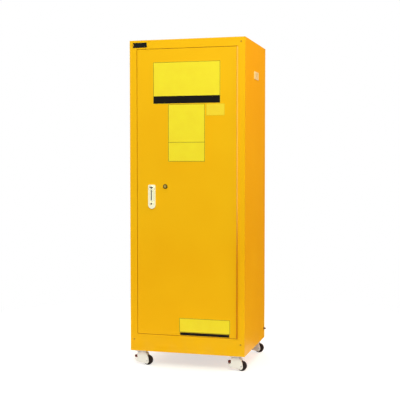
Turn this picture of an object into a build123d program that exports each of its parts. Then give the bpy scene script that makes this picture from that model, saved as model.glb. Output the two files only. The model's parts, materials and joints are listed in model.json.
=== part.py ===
from build123d import *
import os
from math import pi, radians, tan

# A free-standing cabinet for chemicals: double steel walls, one flush door, two shelves, casters.
# Millimetres. +Z is up, the door faces -Y, +X is the hinge side.
# The origin is on the floor under the middle of the body.

# Overall sizes
WIDTH = 650.0
DEPTH = 550.0
HEIGHT = 1800.0
CASTER_HEIGHT = 85.0

# Outer shell
SKIN = 1.2
BASE_SHEET = 2.0
STILE_WIDTH = 40.0
TOP_RAIL_HEIGHT = 48.0
BOTTOM_RAIL_HEIGHT = 95.0
JAMB_DEPTH = 45.0
FLANGE = 15.0
OVERRUN = 5.0

# Liner
LINER_SHEET = 1.0
SIDE_LIP = 12.0
END_LIP = 26.0
REAR_CAVITY = 35.0
FLOOR_CAVITY = 50.0

# Spacers and bearers in the walls
SPACER_HEIGHT = 40.0
SPACER_WALL = 1.5
SPACER_LENGTH = 300.0
SPACER_HEIGHT_SHARES = (0.3, 0.68)
ROOF_SPACER_SHARES = (-0.25, 0.25)
BEARER_LENGTH = 440.0
BEARER_WIDTH = 50.0
BEARER_PLACE_SHARES = (-0.28, 0.0, 0.28)

# Shelf uprights, shelves and clips
UPRIGHT_WIDTH = 30.0
UPRIGHT_DEPTH = 12.0
UPRIGHT_WALL = 1.5
UPRIGHT_SETBACK = 20.0
UPRIGHT_RISE = 244.0
UPRIGHT_HEADROOM = 10.0
SLOT_PITCH = 25.0
SLOT_HEIGHT = 5.0
SLOT_WIDTH = 12.0
SHELF_SHEET = 1.2
SHELF_EDGE = 28.0
SHELF_HEM = 15.0
SHELF_SETBACK = 35.0
SHELF_REAR_GAP = 3.0
SHELF_SIDE_GAP = 1.0
MIDDLE_SHELF_SHARE = 0.34
UPPER_SHELF_SHARE = 0.84
CLIP_THICK = 3.0
CLIP_WIDTH = 18.0
CLIP_REACH = 15.0
CLIP_TAB = 22.0
CLIP_TONGUE_WIDTH = 10.0
CLIP_TONGUE_REACH = 6.0

# Door
DOOR_SIDE_GAP = 3.0
DOOR_END_GAP = 2.5
DOOR_THICK = 40.0
DOOR_SKIN_DEPTH = 18.0
DOOR_SIDE_LIP = 20.0
DOOR_END_LIP = 32.0
PAN_INSET = 1.0
STIFFENER_WIDTH = 30.0
STIFFENER_END_GAP = 20.0
STIFFENER_COVER_GAP = 43.0
STIFFENER_EDGE_GAP = 21.0
STIFFENER_PLACE_SHARES = (0.0, 0.54, 1.0)
GASKET_WIDTH = 6.0
GASKET_INSET = 0.5
GASKET_FREE = 0.3

# Full-length door hinge
HINGE_LEAF = 1.0
HINGE_LEAF_INSET = 2.0
KNUCKLE_RADIUS = 4.0
KNUCKLE_FREE = 0.4
KNUCKLE_COUNT = 49
HINGE_PIN_RADIUS = 1.5
PIN_FREE = 0.05

# Handle on the door
HANDLE_EDGE_OFFSET = 85.0
HANDLE_PIVOT_HEIGHT = 990.0
HANDLE_WIDTH = 42.0
HANDLE_ABOVE = 20.0
HANDLE_BELOW = 112.0
HOUSING_THICK = 6.0
HOUSING_CORNER = 8.0
SPINDLE_RADIUS = 6.0
SPINDLE_BACK_REACH = 4.0
HEAD_RADIUS = 16.0
HEAD_FREE = 0.3
LEVER_THICK = 8.0
LEVER_WIDTH = 26.0
LEVER_LENGTH = 55.0
LEVER_SHOULDER_FREE = 1.0
LEVER_GROOVE = 6.0
LEVER_GROOVE_DEPTH = 2.0
LEVER_GROOVE_INSET = 6.0
LEVER_EDGE = 2.0
TONGUE_WIDTH = 12.0
TONGUE_FREE = 0.3
LEVER_PIN_RADIUS = 2.0
LEVER_PIN_DROP = 8.0
KEY_BOSS_RADIUS = 11.0
KEY_BOSS_FREE = 1.2
KEY_PLUG_RADIUS = 5.0

# Round lock beside the handle
ROUND_LOCK_OFFSET = 76.0
ROUND_LOCK_RISE = 11.0
ROUND_LOCK_FLANGE_RADIUS = 13.0
ROUND_LOCK_FLANGE = 4.0
ROUND_LOCK_BODY_RADIUS = 9.0
ROUND_LOCK_BODY_DEPTH = 8.0
ROUND_PLUG_RADIUS = 6.5

# Keys and lock cams
PLUG_PROUD = 0.5
KEY_SLOT_WIDTH = 1.8
KEY_SLOT_HEIGHT = 7.0
KEY_SLOT_DEPTH = 6.0
CAM_WIDTH = 4.0
CAM_THICK = 3.0
CAM_BITE = 1.5
NOTCH_FREE = 0.4
NOTCH_RUN_IN = 7.2

# Latch rods, driven by a pinion between two racks
ROD_WIDTH = 8.0
ROD_THICK = 6.0
ROD_SETBACK = 9.0
ROD_END_INSET = 1.0
ROD_HOLE_FREE = 0.5
PINION_TEETH = 12
PINION_RADIUS = 10.0
TOOTH_ADDENDUM = 1.3
TOOTH_DEDENDUM = 1.9
TOOTH_BACKLASH = 0.5
TOOTH_TIP_SHARE = 0.5
TOOTH_ROOT_SHARE = 1.5
PRESSURE_ANGLE = 20.0
RACK_LENGTH = 60.0
RACK_ABOVE_SHARE = 0.6
LOCK_ARM_HEIGHT = 56.0
LOCK_ARM_BELOW_SHARE = 0.4
GUIDE_HEIGHT = 16.0
GUIDE_WALL = 5.0
GUIDE_BACK = 3.0
UPPER_GUIDE_SHARES = (0.25, 0.85)
LOWER_GUIDE_SHARES = (0.3, 0.85)
KEEPER_LENGTH = 40.0
KEEPER_WIDTH = 24.0
KEEPER_THICK = 3.0
HANDLE_TURN = 90.0

# Access cover on the inner face of the door
COVER_EDGE_OFFSET = 32.0
COVER_DROP = 7.0
COVER_WIDTH = 203.0
COVER_HEIGHT = 164.0
COVER_THICK = 3.0
COVER_LAP = 16.0
COVER_EDGE = 1.0
COVER_SCREW_RADIUS = 3.5
COVER_SCREW_HEAD = 1.8
COVER_SCREW_INSET = 8.0
COVER_SCREW_SHANK = 2.0

# Screws at the corners of the front frame
FRAME_SCREW_RADIUS = 4.5
FRAME_SCREW_HEAD = 2.0
FRAME_SCREW_SHANK = 2.5
FRAME_SCREW_LENGTH = 8.0
FRAME_SCREW_SIDE = 22.0
FRAME_SCREW_UP = 64.0
FRAME_SCREW_DOWN = 25.0

# Vent on the right side
VENT_LENGTH = 104.0
VENT_HEIGHT = 42.0
VENT_THICK = 3.0
VENT_PLACE_Y = 12.0
VENT_DROP = 182.0
VENT_SLOTS = 4
VENT_SLOT_HEIGHT = 3.5
VENT_SLOT_PITCH = 7.5
VENT_SLOT_LENGTH = 76.0
VENT_CORNER = 4.0
BUNG_LENGTH = 84.0
BUNG_HEIGHT = 30.0
BUNG_FREE = 0.2

# Ground terminal on the right side
STUD_RADIUS = 4.0
STUD_TIP_RADIUS = 3.8
STUD_FREE = 0.3
STUD_OUTSIDE = 14.0
STUD_INSIDE = 12.0
STUD_REAR_OFFSET = 26.0
STUD_RISE = 58.0
NUT_RADIUS = 7.5
NUT_THICK = 6.0

# Casters
CASTER_SIDE_INSET = 56.0
CASTER_FRONT_INSET = 40.0
CASTER_PLATE = 64.0
CASTER_PLATE_THICK = 4.0
CASTER_BOLT_PITCH = 46.0
CASTER_BOLT_RADIUS = 3.0
CASTER_BOLT_HEAD_RADIUS = 5.5
CASTER_BOLT_HEAD = 3.0
CASTER_NUT = 5.0
KINGPIN_RADIUS = 5.0
KINGPIN_LENGTH = 20.0
CASTER_TRAIL = 33.0
WHEEL_RADIUS = 27.0
WHEEL_WIDTH = 24.0
WHEEL_ROUND = 5.0
WHEEL_HUB_RADIUS = 16.0
WHEEL_HUB_DISH = 3.0
WHEEL_BORE_FREE = 0.05
AXLE_RADIUS = 3.0
AXLE_HEAD_RADIUS = 5.0
AXLE_HEAD = 1.5
HOOD_WIDTH = 38.0
HOOD_WELL_WIDTH = 27.0
HOOD_WELL_FREE = 2.5
HOOD_TOP_FREE = 0.3
HOOD_NOSE = 43.0
HOOD_NOSE_HEIGHT = 34.0
HOOD_LEDGE_BACK = 25.0
HOOD_LEDGE_HEIGHT = 40.0
HOOD_CHIN_BACK = 31.0
HOOD_CHIN_HEIGHT = 18.0
HOOD_CHIN_ROUND = 7.0
HOOD_CHEEK_BOTTOM = 7.0
HOOD_CHEEK_ROUND = 5.0
HOOD_TAIL = 41.0
HOOD_EDGE = 2.5
HOOD_NECK_RADIUS = 22.0
HOOD_NECK = 7.0
NECK_TOP_SHARE = 0.8
PEDAL_WIDTH = 18.0
PEDAL_THICK = 13.0
PEDAL_INSIDE = 5.0
PEDAL_PIVOT_BACK = 19.0
PEDAL_PIVOT_HEIGHT = 47.0
PEDAL_PIN_RADIUS = 2.0
PEDAL_ROOM = 6.0
PEDAL_SIDE_ROOM = 1.0
PEDAL_EDGE = 1.5

# Planes of the shell
LEFT = -WIDTH / 2
RIGHT = WIDTH / 2
FRONT = -DEPTH / 2
REAR = DEPTH / 2
BOTTOM = CASTER_HEIGHT
TOP = HEIGHT
OPEN_LEFT = LEFT + STILE_WIDTH
OPEN_RIGHT = RIGHT - STILE_WIDTH
OPEN_BOTTOM = BOTTOM + BOTTOM_RAIL_HEIGHT
OPEN_TOP = TOP - TOP_RAIL_HEIGHT
JAMB_BACK = FRONT + JAMB_DEPTH

# Planes of the liner
LINER_LEFT = OPEN_LEFT + SIDE_LIP
LINER_RIGHT = OPEN_RIGHT - SIDE_LIP
LINER_REAR = REAR - REAR_CAVITY
LINER_TOP = OPEN_TOP - END_LIP
SUMP_RIM = OPEN_BOTTOM + END_LIP
SUMP_FLOOR = BOTTOM + FLOOR_CAVITY
UPRIGHT_BOTTOM = SUMP_RIM + UPRIGHT_RISE
UPRIGHT_TOP = LINER_TOP - UPRIGHT_HEADROOM
SLOT_COUNT = int((UPRIGHT_TOP - UPRIGHT_BOTTOM) / SLOT_PITCH)

# Planes of the door
DOOR_LEFT = OPEN_LEFT + DOOR_SIDE_GAP
DOOR_RIGHT = OPEN_RIGHT - DOOR_SIDE_GAP
DOOR_BOTTOM = OPEN_BOTTOM + DOOR_END_GAP
DOOR_TOP = OPEN_TOP - DOOR_END_GAP
DOOR_STEP = FRONT + DOOR_SKIN_DEPTH
DOOR_BACK = FRONT + DOOR_THICK
DOOR_RIM = END_LIP - DOOR_END_GAP - GASKET_INSET - GASKET_WIDTH
DOOR_INSIDE = FRONT + SKIN
PAN_INSIDE = DOOR_BACK - SKIN

# Hinge axis
HINGE_X = (DOOR_RIGHT + OPEN_RIGHT) / 2
HINGE_Y = FRONT - KNUCKLE_RADIUS - KNUCKLE_FREE

# Handle, locks and rods
PIVOT_X = DOOR_LEFT + HANDLE_EDGE_OFFSET
PIVOT_Z = HANDLE_PIVOT_HEIGHT
HOUSING_FRONT = FRONT - HOUSING_THICK
LEVER_BACK = HOUSING_FRONT - HEAD_FREE
LEVER_FRONT = LEVER_BACK - LEVER_THICK
LEVER_PIN_Y = (LEVER_BACK + LEVER_FRONT) / 2
LEVER_PIN_Z = PIVOT_Z - LEVER_PIN_DROP
LEVER_TOP = PIVOT_Z - HEAD_RADIUS - LEVER_SHOULDER_FREE
LEVER_END = LEVER_TOP - LEVER_LENGTH
KEY_Z = LEVER_END - KEY_BOSS_FREE - KEY_BOSS_RADIUS
ROUND_LOCK_X = PIVOT_X + ROUND_LOCK_OFFSET
ROUND_LOCK_Z = PIVOT_Z + ROUND_LOCK_RISE
ROD_FRONT = FRONT + ROD_SETBACK
ROD_BACK = ROD_FRONT + ROD_THICK
ROD_ROOT = PINION_RADIUS + TOOTH_DEDENDUM
VENT_Z = TOP - VENT_DROP
UPPER_ROD_X = (PIVOT_X - ROD_ROOT - ROD_WIDTH, PIVOT_X - ROD_ROOT)
LOWER_ROD_X = (PIVOT_X + ROD_ROOT, PIVOT_X + ROD_ROOT + ROD_WIDTH)
ROD_TRAVEL = PINION_RADIUS * radians(HANDLE_TURN)
TOOTH_PITCH = 2 * pi * PINION_RADIUS / PINION_TEETH
CAM_LENGTH = ROD_ROOT + CAM_BITE

# Casters: turning axis and corner of each
CASTER_X = WIDTH / 2 - CASTER_SIDE_INSET
CASTER_Y = DEPTH / 2 - CASTER_FRONT_INSET
CORNERS = {
    "front_left": (-CASTER_X, -CASTER_Y),
    "front_right": (CASTER_X, -CASTER_Y),
    "rear_left": (-CASTER_X, CASTER_Y),
    "rear_right": (CASTER_X, CASTER_Y),
}
BRAKED = ("front_left", "front_right")
HOOD_TOP = BOTTOM - CASTER_PLATE_THICK - HOOD_TOP_FREE


def block(xs, ys, zs):
    """A box between two planes along each axis."""
    centre = [(low + high) / 2 for low, high in (xs, ys, zs)]
    size = [high - low for low, high in (xs, ys, zs)]
    return Pos(*centre) * Box(*size)


def bar_x(y, z, radius, xs):
    """A round bar along X."""
    return Pos((xs[0] + xs[1]) / 2, y, z) * Rot(0, 90, 0) * Cylinder(radius, xs[1] - xs[0])


def bar_y(x, z, radius, ys):
    """A round bar along Y."""
    return Pos(x, (ys[0] + ys[1]) / 2, z) * Rot(90, 0, 0) * Cylinder(radius, ys[1] - ys[0])


def bar_z(x, y, radius, zs):
    """A round bar along Z."""
    return Pos(x, y, (zs[0] + zs[1]) / 2) * Cylinder(radius, zs[1] - zs[0])


def around(middle, size):
    """The two planes of a size about its middle."""
    return middle - size / 2, middle + size / 2


def shrink(span, by):
    """A span drawn in at both ends."""
    return span[0] + by, span[1] - by


def tray(xs, ys, zs, wall, open_side):
    """A folded sheet pan, open towards one side, such as "+Z"."""
    inner = {"X": shrink(xs, wall), "Y": shrink(ys, wall), "Z": shrink(zs, wall)}
    letter = open_side[1]
    low, high = inner[letter]
    reach = wall + OVERRUN
    inner[letter] = (low, high + reach) if open_side[0] == "+" else (low - reach, high)
    return block(xs, ys, zs) - block(inner["X"], inner["Y"], inner["Z"])


def tube(xs, ys, zs, wall, along):
    """A square tube along one axis."""
    inner = {"X": shrink(xs, wall), "Y": shrink(ys, wall), "Z": shrink(zs, wall)}
    low, high = {"X": xs, "Y": ys, "Z": zs}[along]
    inner[along] = (low - OVERRUN, high + OVERRUN)
    return block(xs, ys, zs) - block(inner["X"], inner["Y"], inner["Z"])


def group(pieces):
    """Separate solids in one node."""
    return Compound(children=[solid for piece in pieces for solid in piece.solids()])


# Outer shell

def side_panel():
    """The left side, folded round the front corner into the stile and its jamb."""
    sheet = block((LEFT, LEFT + SKIN), (FRONT, REAR - SKIN), (BOTTOM, TOP))
    stile = block((LEFT, OPEN_LEFT), (FRONT, DOOR_INSIDE), (BOTTOM, TOP))
    jamb = block((OPEN_LEFT - SKIN, OPEN_LEFT), (FRONT, JAMB_BACK), (OPEN_BOTTOM, OPEN_TOP))
    rear_zs = shrink((BOTTOM, TOP), FLANGE)
    rear = block((LEFT, LEFT + FLANGE), (REAR - SKIN - SKIN, REAR - SKIN), rear_zs)
    panel = sheet + stile + jamb + rear
    for place in frame_screw_places():
        panel -= bar_y(place[0], place[1], FRAME_SCREW_SHANK, (FRONT - OVERRUN, DOOR_INSIDE + OVERRUN))
    return panel


def right_side_panel():
    """The mirror of the left side, with holes for the vent and the ground stud."""
    xs = (RIGHT - SKIN - OVERRUN, RIGHT + OVERRUN)
    panel = mirror(side_panel(), about=Plane.YZ)
    panel -= block(xs, *vent_hole())
    stud_y, stud_z = stud_place()
    return panel - bar_x(stud_y, stud_z, STUD_RADIUS + STUD_FREE, xs)


def rear_panel():
    return block((LEFT, RIGHT), (REAR - SKIN, REAR), (BOTTOM, TOP))


def top_panel():
    ys = (DOOR_INSIDE, REAR - SKIN)
    return tray((LEFT + SKIN, RIGHT - SKIN), ys, (TOP - FLANGE, TOP), SKIN, "-Z")


def base_panel():
    ys = (DOOR_INSIDE, REAR - SKIN)
    zs = (BOTTOM, BOTTOM + FLANGE)
    panel = tray((LEFT + SKIN, RIGHT - SKIN), ys, zs, BASE_SHEET, "+Z")
    for x, y in caster_bolt_places():
        panel -= bar_z(x, y, CASTER_BOLT_RADIUS, (BOTTOM - OVERRUN, BOTTOM + BASE_SHEET + OVERRUN))
    return panel


def top_rail():
    xs = (OPEN_LEFT, OPEN_RIGHT)
    face = block(xs, (FRONT, DOOR_INSIDE), (OPEN_TOP, TOP))
    jamb = block(xs, (FRONT, JAMB_BACK), (OPEN_TOP, OPEN_TOP + SKIN))
    return face + jamb - rod_hole(UPPER_ROD_X, around(OPEN_TOP, SKIN + KEEPER_THICK + OVERRUN))


def bottom_rail():
    xs = (OPEN_LEFT, OPEN_RIGHT)
    face = block(xs, (FRONT, DOOR_INSIDE), (BOTTOM, OPEN_BOTTOM))
    sill = block(xs, (FRONT, JAMB_BACK), (OPEN_BOTTOM - SKIN, OPEN_BOTTOM))
    return face + sill - rod_hole(LOWER_ROD_X, around(OPEN_BOTTOM, SKIN + KEEPER_THICK + OVERRUN))


def rod_hole(rod_xs, zs):
    """Room for a latch rod through a sheet."""
    ys = shrink((ROD_FRONT, ROD_BACK), -ROD_HOLE_FREE)
    return block(shrink(rod_xs, -ROD_HOLE_FREE), ys, zs)


def rod_keepers():
    """A thick plate behind each rail's hole, which takes the rod's end."""
    ys = (DOOR_INSIDE, DOOR_INSIDE + KEEPER_WIDTH)
    reach = KEEPER_THICK + OVERRUN
    plates = []
    for rod_xs, low in ((UPPER_ROD_X, OPEN_TOP + SKIN), (LOWER_ROD_X, OPEN_BOTTOM - SKIN - KEEPER_THICK)):
        xs = around((rod_xs[0] + rod_xs[1]) / 2, KEEPER_LENGTH)
        plate = block(xs, ys, (low, low + KEEPER_THICK))
        plates.append(plate - rod_hole(rod_xs, (low - reach, low + reach)))
    return group(plates)


def frame_screw_places():
    """Screws of the left stile, as x and z."""
    x = LEFT + FRAME_SCREW_SIDE
    return [(x, BOTTOM + FRAME_SCREW_UP), (x, TOP - FRAME_SCREW_DOWN)]


def frame_screws():
    screws = []
    for x, z in frame_screw_places():
        for side in (x, -x):
            head = bar_y(side, z, FRAME_SCREW_RADIUS, (FRONT - FRAME_SCREW_HEAD, FRONT))
            rim = head.edges().filter_by(GeomType.CIRCLE).sort_by(Axis.Y)[0]
            head = fillet(rim, FRAME_SCREW_HEAD / 2)
            shank = bar_y(side, z, FRAME_SCREW_SHANK, (FRONT, FRONT + FRAME_SCREW_LENGTH))
            screws.append(head + shank)
    return group(screws)


def wall_spacers():
    """Square tubes that hold the liner off the shell at the sides, rear and roof."""
    tubes = []
    for share in SPACER_HEIGHT_SHARES:
        zs = around(BOTTOM + share * (TOP - BOTTOM), SPACER_HEIGHT)
        xs = (LEFT + SKIN, LINER_LEFT - LINER_SHEET)
        left = tube(xs, around(0, SPACER_LENGTH), zs, SPACER_WALL, "Y")
        tubes += [left, mirror(left, about=Plane.YZ)]
        ys = (LINER_REAR + LINER_SHEET, REAR - SKIN)
        tubes.append(tube(around(0, SPACER_LENGTH), ys, zs, SPACER_WALL, "X"))
    for share in ROOF_SPACER_SHARES:
        ys = around(share * DEPTH, SPACER_HEIGHT)
        zs = (LINER_TOP + LINER_SHEET, TOP - SKIN)
        tubes.append(tube(around(0, SPACER_LENGTH), ys, zs, SPACER_WALL, "X"))
    return group(tubes)


def floor_bearers():
    """Square tubes on the base that carry the sump."""
    zs = (BOTTOM + BASE_SHEET, SUMP_FLOOR)
    xs = around(0, BEARER_LENGTH)
    places = [around(share * DEPTH, BEARER_WIDTH) for share in BEARER_PLACE_SHARES]
    return group([tube(xs, ys, zs, SPACER_WALL, "X") for ys in places])


# Liner

def liner_left():
    zs = (SUMP_FLOOR, LINER_TOP + LINER_SHEET)
    wall = block((LINER_LEFT - LINER_SHEET, LINER_LEFT), (JAMB_BACK, LINER_REAR), zs)
    lip = block((OPEN_LEFT, LINER_LEFT), (JAMB_BACK, JAMB_BACK + LINER_SHEET), (OPEN_BOTTOM, OPEN_TOP))
    return wall + lip


def liner_right():
    xs = (LINER_RIGHT - OVERRUN, LINER_RIGHT + LINER_SHEET + OVERRUN)
    return mirror(liner_left(), about=Plane.YZ) - block(xs, *vent_hole())


def liner_rear():
    xs = (LINER_LEFT - LINER_SHEET, LINER_RIGHT + LINER_SHEET)
    return block(xs, (LINER_REAR, LINER_REAR + LINER_SHEET), (SUMP_FLOOR, LINER_TOP + LINER_SHEET))


def liner_ceiling():
    xs = (LINER_LEFT, LINER_RIGHT)
    sheet = block(xs, (JAMB_BACK, LINER_REAR), (LINER_TOP, LINER_TOP + LINER_SHEET))
    lip = block(xs, (JAMB_BACK, JAMB_BACK + LINER_SHEET), (LINER_TOP, OPEN_TOP))
    return sheet + lip


def liner_sump():
    """The leak-proof tray at the bottom."""
    ys = (JAMB_BACK, LINER_REAR)
    return tray((LINER_LEFT, LINER_RIGHT), ys, (SUMP_FLOOR, SUMP_RIM), LINER_SHEET, "+Z")


def door_gasket():
    """A soft frame on the liner's lip, which the door's inner pan closes on."""
    xs = shrink((LINER_LEFT, LINER_RIGHT), -GASKET_INSET)
    zs = shrink((SUMP_RIM, LINER_TOP), -GASKET_INSET)
    ys = (DOOR_BACK + GASKET_FREE, JAMB_BACK)
    frame = block(shrink(xs, -GASKET_WIDTH), ys, shrink(zs, -GASKET_WIDTH))
    return frame - block(xs, shrink(ys, -OVERRUN), zs)


# Shelving

def slot_height(number):
    """Middle of a slot, counted up from the foot of the uprights."""
    return UPRIGHT_BOTTOM + number * SLOT_PITCH


def upright_places():
    """Front and rear uprights, as spans along Y."""
    front = JAMB_BACK + LINER_SHEET + UPRIGHT_SETBACK
    rear = LINER_REAR - UPRIGHT_SETBACK
    return [(front, front + UPRIGHT_WIDTH), (rear - UPRIGHT_WIDTH, rear)]


def shelf_uprights():
    """Slotted channels on the side walls."""
    web = LINER_LEFT + UPRIGHT_DEPTH
    zs = (UPRIGHT_BOTTOM, UPRIGHT_TOP)
    channels = []
    for ys in upright_places():
        inside_xs = (LINER_LEFT - OVERRUN, web - UPRIGHT_WALL)
        inside = block(inside_xs, shrink(ys, UPRIGHT_WALL), shrink(zs, -OVERRUN))
        middle = (ys[0] + ys[1]) / 2
        slot_xs = (web - UPRIGHT_DEPTH / 2, web + OVERRUN)
        slot_ys = around(middle, SLOT_WIDTH)
        heights = [around(slot_height(number), SLOT_HEIGHT) for number in range(1, SLOT_COUNT)]
        slots = [block(slot_xs, slot_ys, slot_zs) for slot_zs in heights]
        channel = block((LINER_LEFT, web), ys, zs) - inside - slots
        channels += [channel, mirror(channel, about=Plane.YZ)]
    return group(channels)


def shelf_seat(share):
    """Height of a shelf's lower edge on clips in the slot nearest to a share of the uprights."""
    return slot_height(round(share * SLOT_COUNT)) + CLIP_THICK / 2


def shelf(share):
    """A pan with its edges folded down and a hem along each side."""
    low = shelf_seat(share)
    zs = (low, low + SHELF_EDGE)
    side = LINER_RIGHT - UPRIGHT_DEPTH - SHELF_SIDE_GAP
    ys = (JAMB_BACK + SHELF_SETBACK, LINER_REAR - SHELF_REAR_GAP)
    pan = tray((-side, side), ys, zs, SHELF_SHEET, "-Z")
    hem = block((-side, SHELF_HEM - side), ys, (low, low + SHELF_SHEET))
    return pan + hem + mirror(hem, about=Plane.YZ)


def shelf_clips():
    """Ledges hooked into the slots under each corner of the shelves."""
    web = LINER_LEFT + UPRIGHT_DEPTH
    clips = []
    for share in (MIDDLE_SHELF_SHARE, UPPER_SHELF_SHARE):
        high = shelf_seat(share)
        for ys in upright_places():
            middle = (ys[0] + ys[1]) / 2
            ledge = block((web, web + CLIP_REACH), around(middle, CLIP_WIDTH), (high - CLIP_THICK, high))
            tab = block((web, web + SHELF_SIDE_GAP), around(middle, CLIP_WIDTH), (high - CLIP_TAB, high))
            tongue_xs = (web - UPRIGHT_WALL - CLIP_TONGUE_REACH, web)
            tongue = block(tongue_xs, around(middle, CLIP_TONGUE_WIDTH), (high - CLIP_THICK, high))
            clip = ledge + tab + tongue
            clips += [clip, mirror(clip, about=Plane.YZ)]
    return group(clips)


# Door

def door_outer_skin():
    """The front face with folded edges and a rim turned in behind."""
    xs, ys, zs = (DOOR_LEFT, DOOR_RIGHT), (FRONT, DOOR_STEP), (DOOR_BOTTOM, DOOR_TOP)
    skin = block(xs, ys, zs) - block(shrink(xs, SKIN), shrink(ys, SKIN), shrink(zs, SKIN))
    back_ys = (DOOR_STEP - SKIN - OVERRUN / 2, DOOR_STEP + OVERRUN)
    skin -= block(shrink(xs, DOOR_SIDE_LIP), back_ys, shrink(zs, DOOR_END_LIP))
    through = (FRONT - OVERRUN, DOOR_INSIDE + OVERRUN)
    skin -= bar_y(PIVOT_X, PIVOT_Z, SPINDLE_RADIUS + ROD_HOLE_FREE, through)
    skin -= bar_y(PIVOT_X, KEY_Z, KEY_PLUG_RADIUS + ROD_HOLE_FREE, through)
    skin -= bar_y(ROUND_LOCK_X, ROUND_LOCK_Z, ROUND_LOCK_BODY_RADIUS, through)
    skin -= rod_hole(UPPER_ROD_X, (DOOR_TOP - SKIN - OVERRUN, DOOR_TOP + OVERRUN))
    return skin - rod_hole(LOWER_ROD_X, (DOOR_BOTTOM - OVERRUN, DOOR_BOTTOM + SKIN + OVERRUN))


def pan_spans():
    """The inner pan's place across, through and up the door."""
    xs = shrink((DOOR_LEFT, DOOR_RIGHT), PAN_INSET)
    return xs, (DOOR_STEP, DOOR_BACK), shrink((DOOR_BOTTOM, DOOR_TOP), DOOR_RIM)


def cover_spans():
    """The access cover's place across and up the door."""
    left = DOOR_LEFT + COVER_EDGE_OFFSET
    low = PIVOT_Z - COVER_DROP
    return (left, left + COVER_WIDTH), (low, low + COVER_HEIGHT)


def door_inner_pan():
    pan = tray(*pan_spans(), SKIN, "-Y")
    cover_xs, cover_zs = cover_spans()
    ys = (PAN_INSIDE - OVERRUN, DOOR_BACK + OVERRUN)
    pan -= block(shrink(cover_xs, COVER_LAP), ys, shrink(cover_zs, COVER_LAP))
    for x, z in cover_screw_places():
        pan -= bar_y(x, z, COVER_SCREW_SHANK, ys)
    return pan


def cover_screw_places():
    cover_xs, cover_zs = cover_spans()
    xs = shrink(cover_xs, COVER_SCREW_INSET)
    zs = shrink(cover_zs, COVER_SCREW_INSET)
    return [(x, z) for x in xs for z in zs]


def lock_cover():
    cover_xs, cover_zs = cover_spans()
    plate = block(cover_xs, (DOOR_BACK, DOOR_BACK + COVER_THICK), cover_zs)
    plate = chamfer(plate.faces().sort_by(Axis.Y)[-1].edges(), COVER_EDGE)
    for x, z in cover_screw_places():
        plate -= bar_y(x, z, COVER_SCREW_SHANK, (DOOR_BACK - OVERRUN, DOOR_BACK + COVER_THICK + OVERRUN))
    return plate


def lock_cover_screws():
    face = DOOR_BACK + COVER_THICK
    screws = []
    for x, z in cover_screw_places():
        head = bar_y(x, z, COVER_SCREW_RADIUS, (face, face + COVER_SCREW_HEAD))
        rim = head.edges().filter_by(GeomType.CIRCLE).sort_by(Axis.Y)[-1]
        head = fillet(rim, COVER_SCREW_HEAD / 2)
        screws.append(head + bar_y(x, z, COVER_SCREW_SHANK, (PAN_INSIDE - COVER_SCREW_HEAD, face)))
    return group(screws)


def door_stiffeners():
    """Upright tubes between the two skins of the door."""
    zs = shrink((DOOR_BOTTOM + DOOR_END_LIP, DOOR_TOP - DOOR_END_LIP), STIFFENER_END_GAP)
    cover_xs, cover_zs = cover_spans()
    first = cover_xs[1] + STIFFENER_COVER_GAP
    last = DOOR_RIGHT - DOOR_SIDE_LIP - STIFFENER_EDGE_GAP - STIFFENER_WIDTH
    tubes = []
    for share in STIFFENER_PLACE_SHARES:
        left = first + share * (last - first)
        ys = (DOOR_INSIDE, PAN_INSIDE)
        tubes.append(tube((left, left + STIFFENER_WIDTH), ys, zs, SPACER_WALL, "Z"))
    return group(tubes)


def hinge_leaf(xs, first):
    """A long leaf with every second knuckle, counted from the first."""
    zs = (DOOR_BOTTOM, DOOR_TOP)
    pitch = (DOOR_TOP - DOOR_BOTTOM) / KNUCKLE_COUNT
    starts = [DOOR_BOTTOM + number * pitch for number in range(KNUCKLE_COUNT)]
    rings = []
    gaps = []
    for number, start in enumerate(starts):
        span = (start, start + pitch)
        if number % 2 == first:
            rings.append(bar_z(HINGE_X, HINGE_Y, KNUCKLE_RADIUS, shrink(span, KNUCKLE_FREE / 2)))
        else:
            gaps.append(bar_z(HINGE_X, HINGE_Y, KNUCKLE_RADIUS + KNUCKLE_FREE / 2, span))
    plate = block(xs, (HINGE_Y, DOOR_STEP - HINGE_LEAF_INSET), zs)
    bore = bar_z(HINGE_X, HINGE_Y, HINGE_PIN_RADIUS + PIN_FREE, shrink(zs, -OVERRUN))
    return plate + rings - gaps - bore


def hinge_frame_leaf():
    return hinge_leaf((OPEN_RIGHT - HINGE_LEAF, OPEN_RIGHT), 0)


def hinge_door_leaf():
    return hinge_leaf((DOOR_RIGHT, DOOR_RIGHT + HINGE_LEAF), 1)


def hinge_pin():
    return bar_z(HINGE_X, HINGE_Y, HINGE_PIN_RADIUS, (DOOR_BOTTOM, DOOR_TOP))


# Handle and locks

def handle_outline():
    """The housing's outline seen from the front: square shoulders above, a round foot below."""
    half = HANDLE_WIDTH / 2
    body = Pos(PIVOT_X, PIVOT_Z + (HANDLE_ABOVE - HANDLE_BELOW + half) / 2)
    upright = body * Rectangle(half * 2, HANDLE_ABOVE + HANDLE_BELOW - half)
    upright = fillet(upright.vertices().sort_by(Axis.Y)[-2:], HOUSING_CORNER)
    return upright + Pos(PIVOT_X, PIVOT_Z - HANDLE_BELOW + half) * Circle(half)


def handle_housing():
    plate = Plane.XZ.offset(-FRONT) * extrude(handle_outline(), HOUSING_THICK)
    boss = bar_y(PIVOT_X, KEY_Z, KEY_BOSS_RADIUS, (LEVER_FRONT, FRONT))
    rim = boss.edges().filter_by(GeomType.CIRCLE).sort_by(Axis.Y)[0]
    boss = chamfer(rim, LEVER_EDGE)
    through = (LEVER_FRONT - OVERRUN, FRONT + OVERRUN)
    housing = plate + boss - bar_y(PIVOT_X, PIVOT_Z, SPINDLE_RADIUS + PIN_FREE, through)
    return housing - bar_y(PIVOT_X, KEY_Z, KEY_PLUG_RADIUS + PIN_FREE, through)


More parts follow.
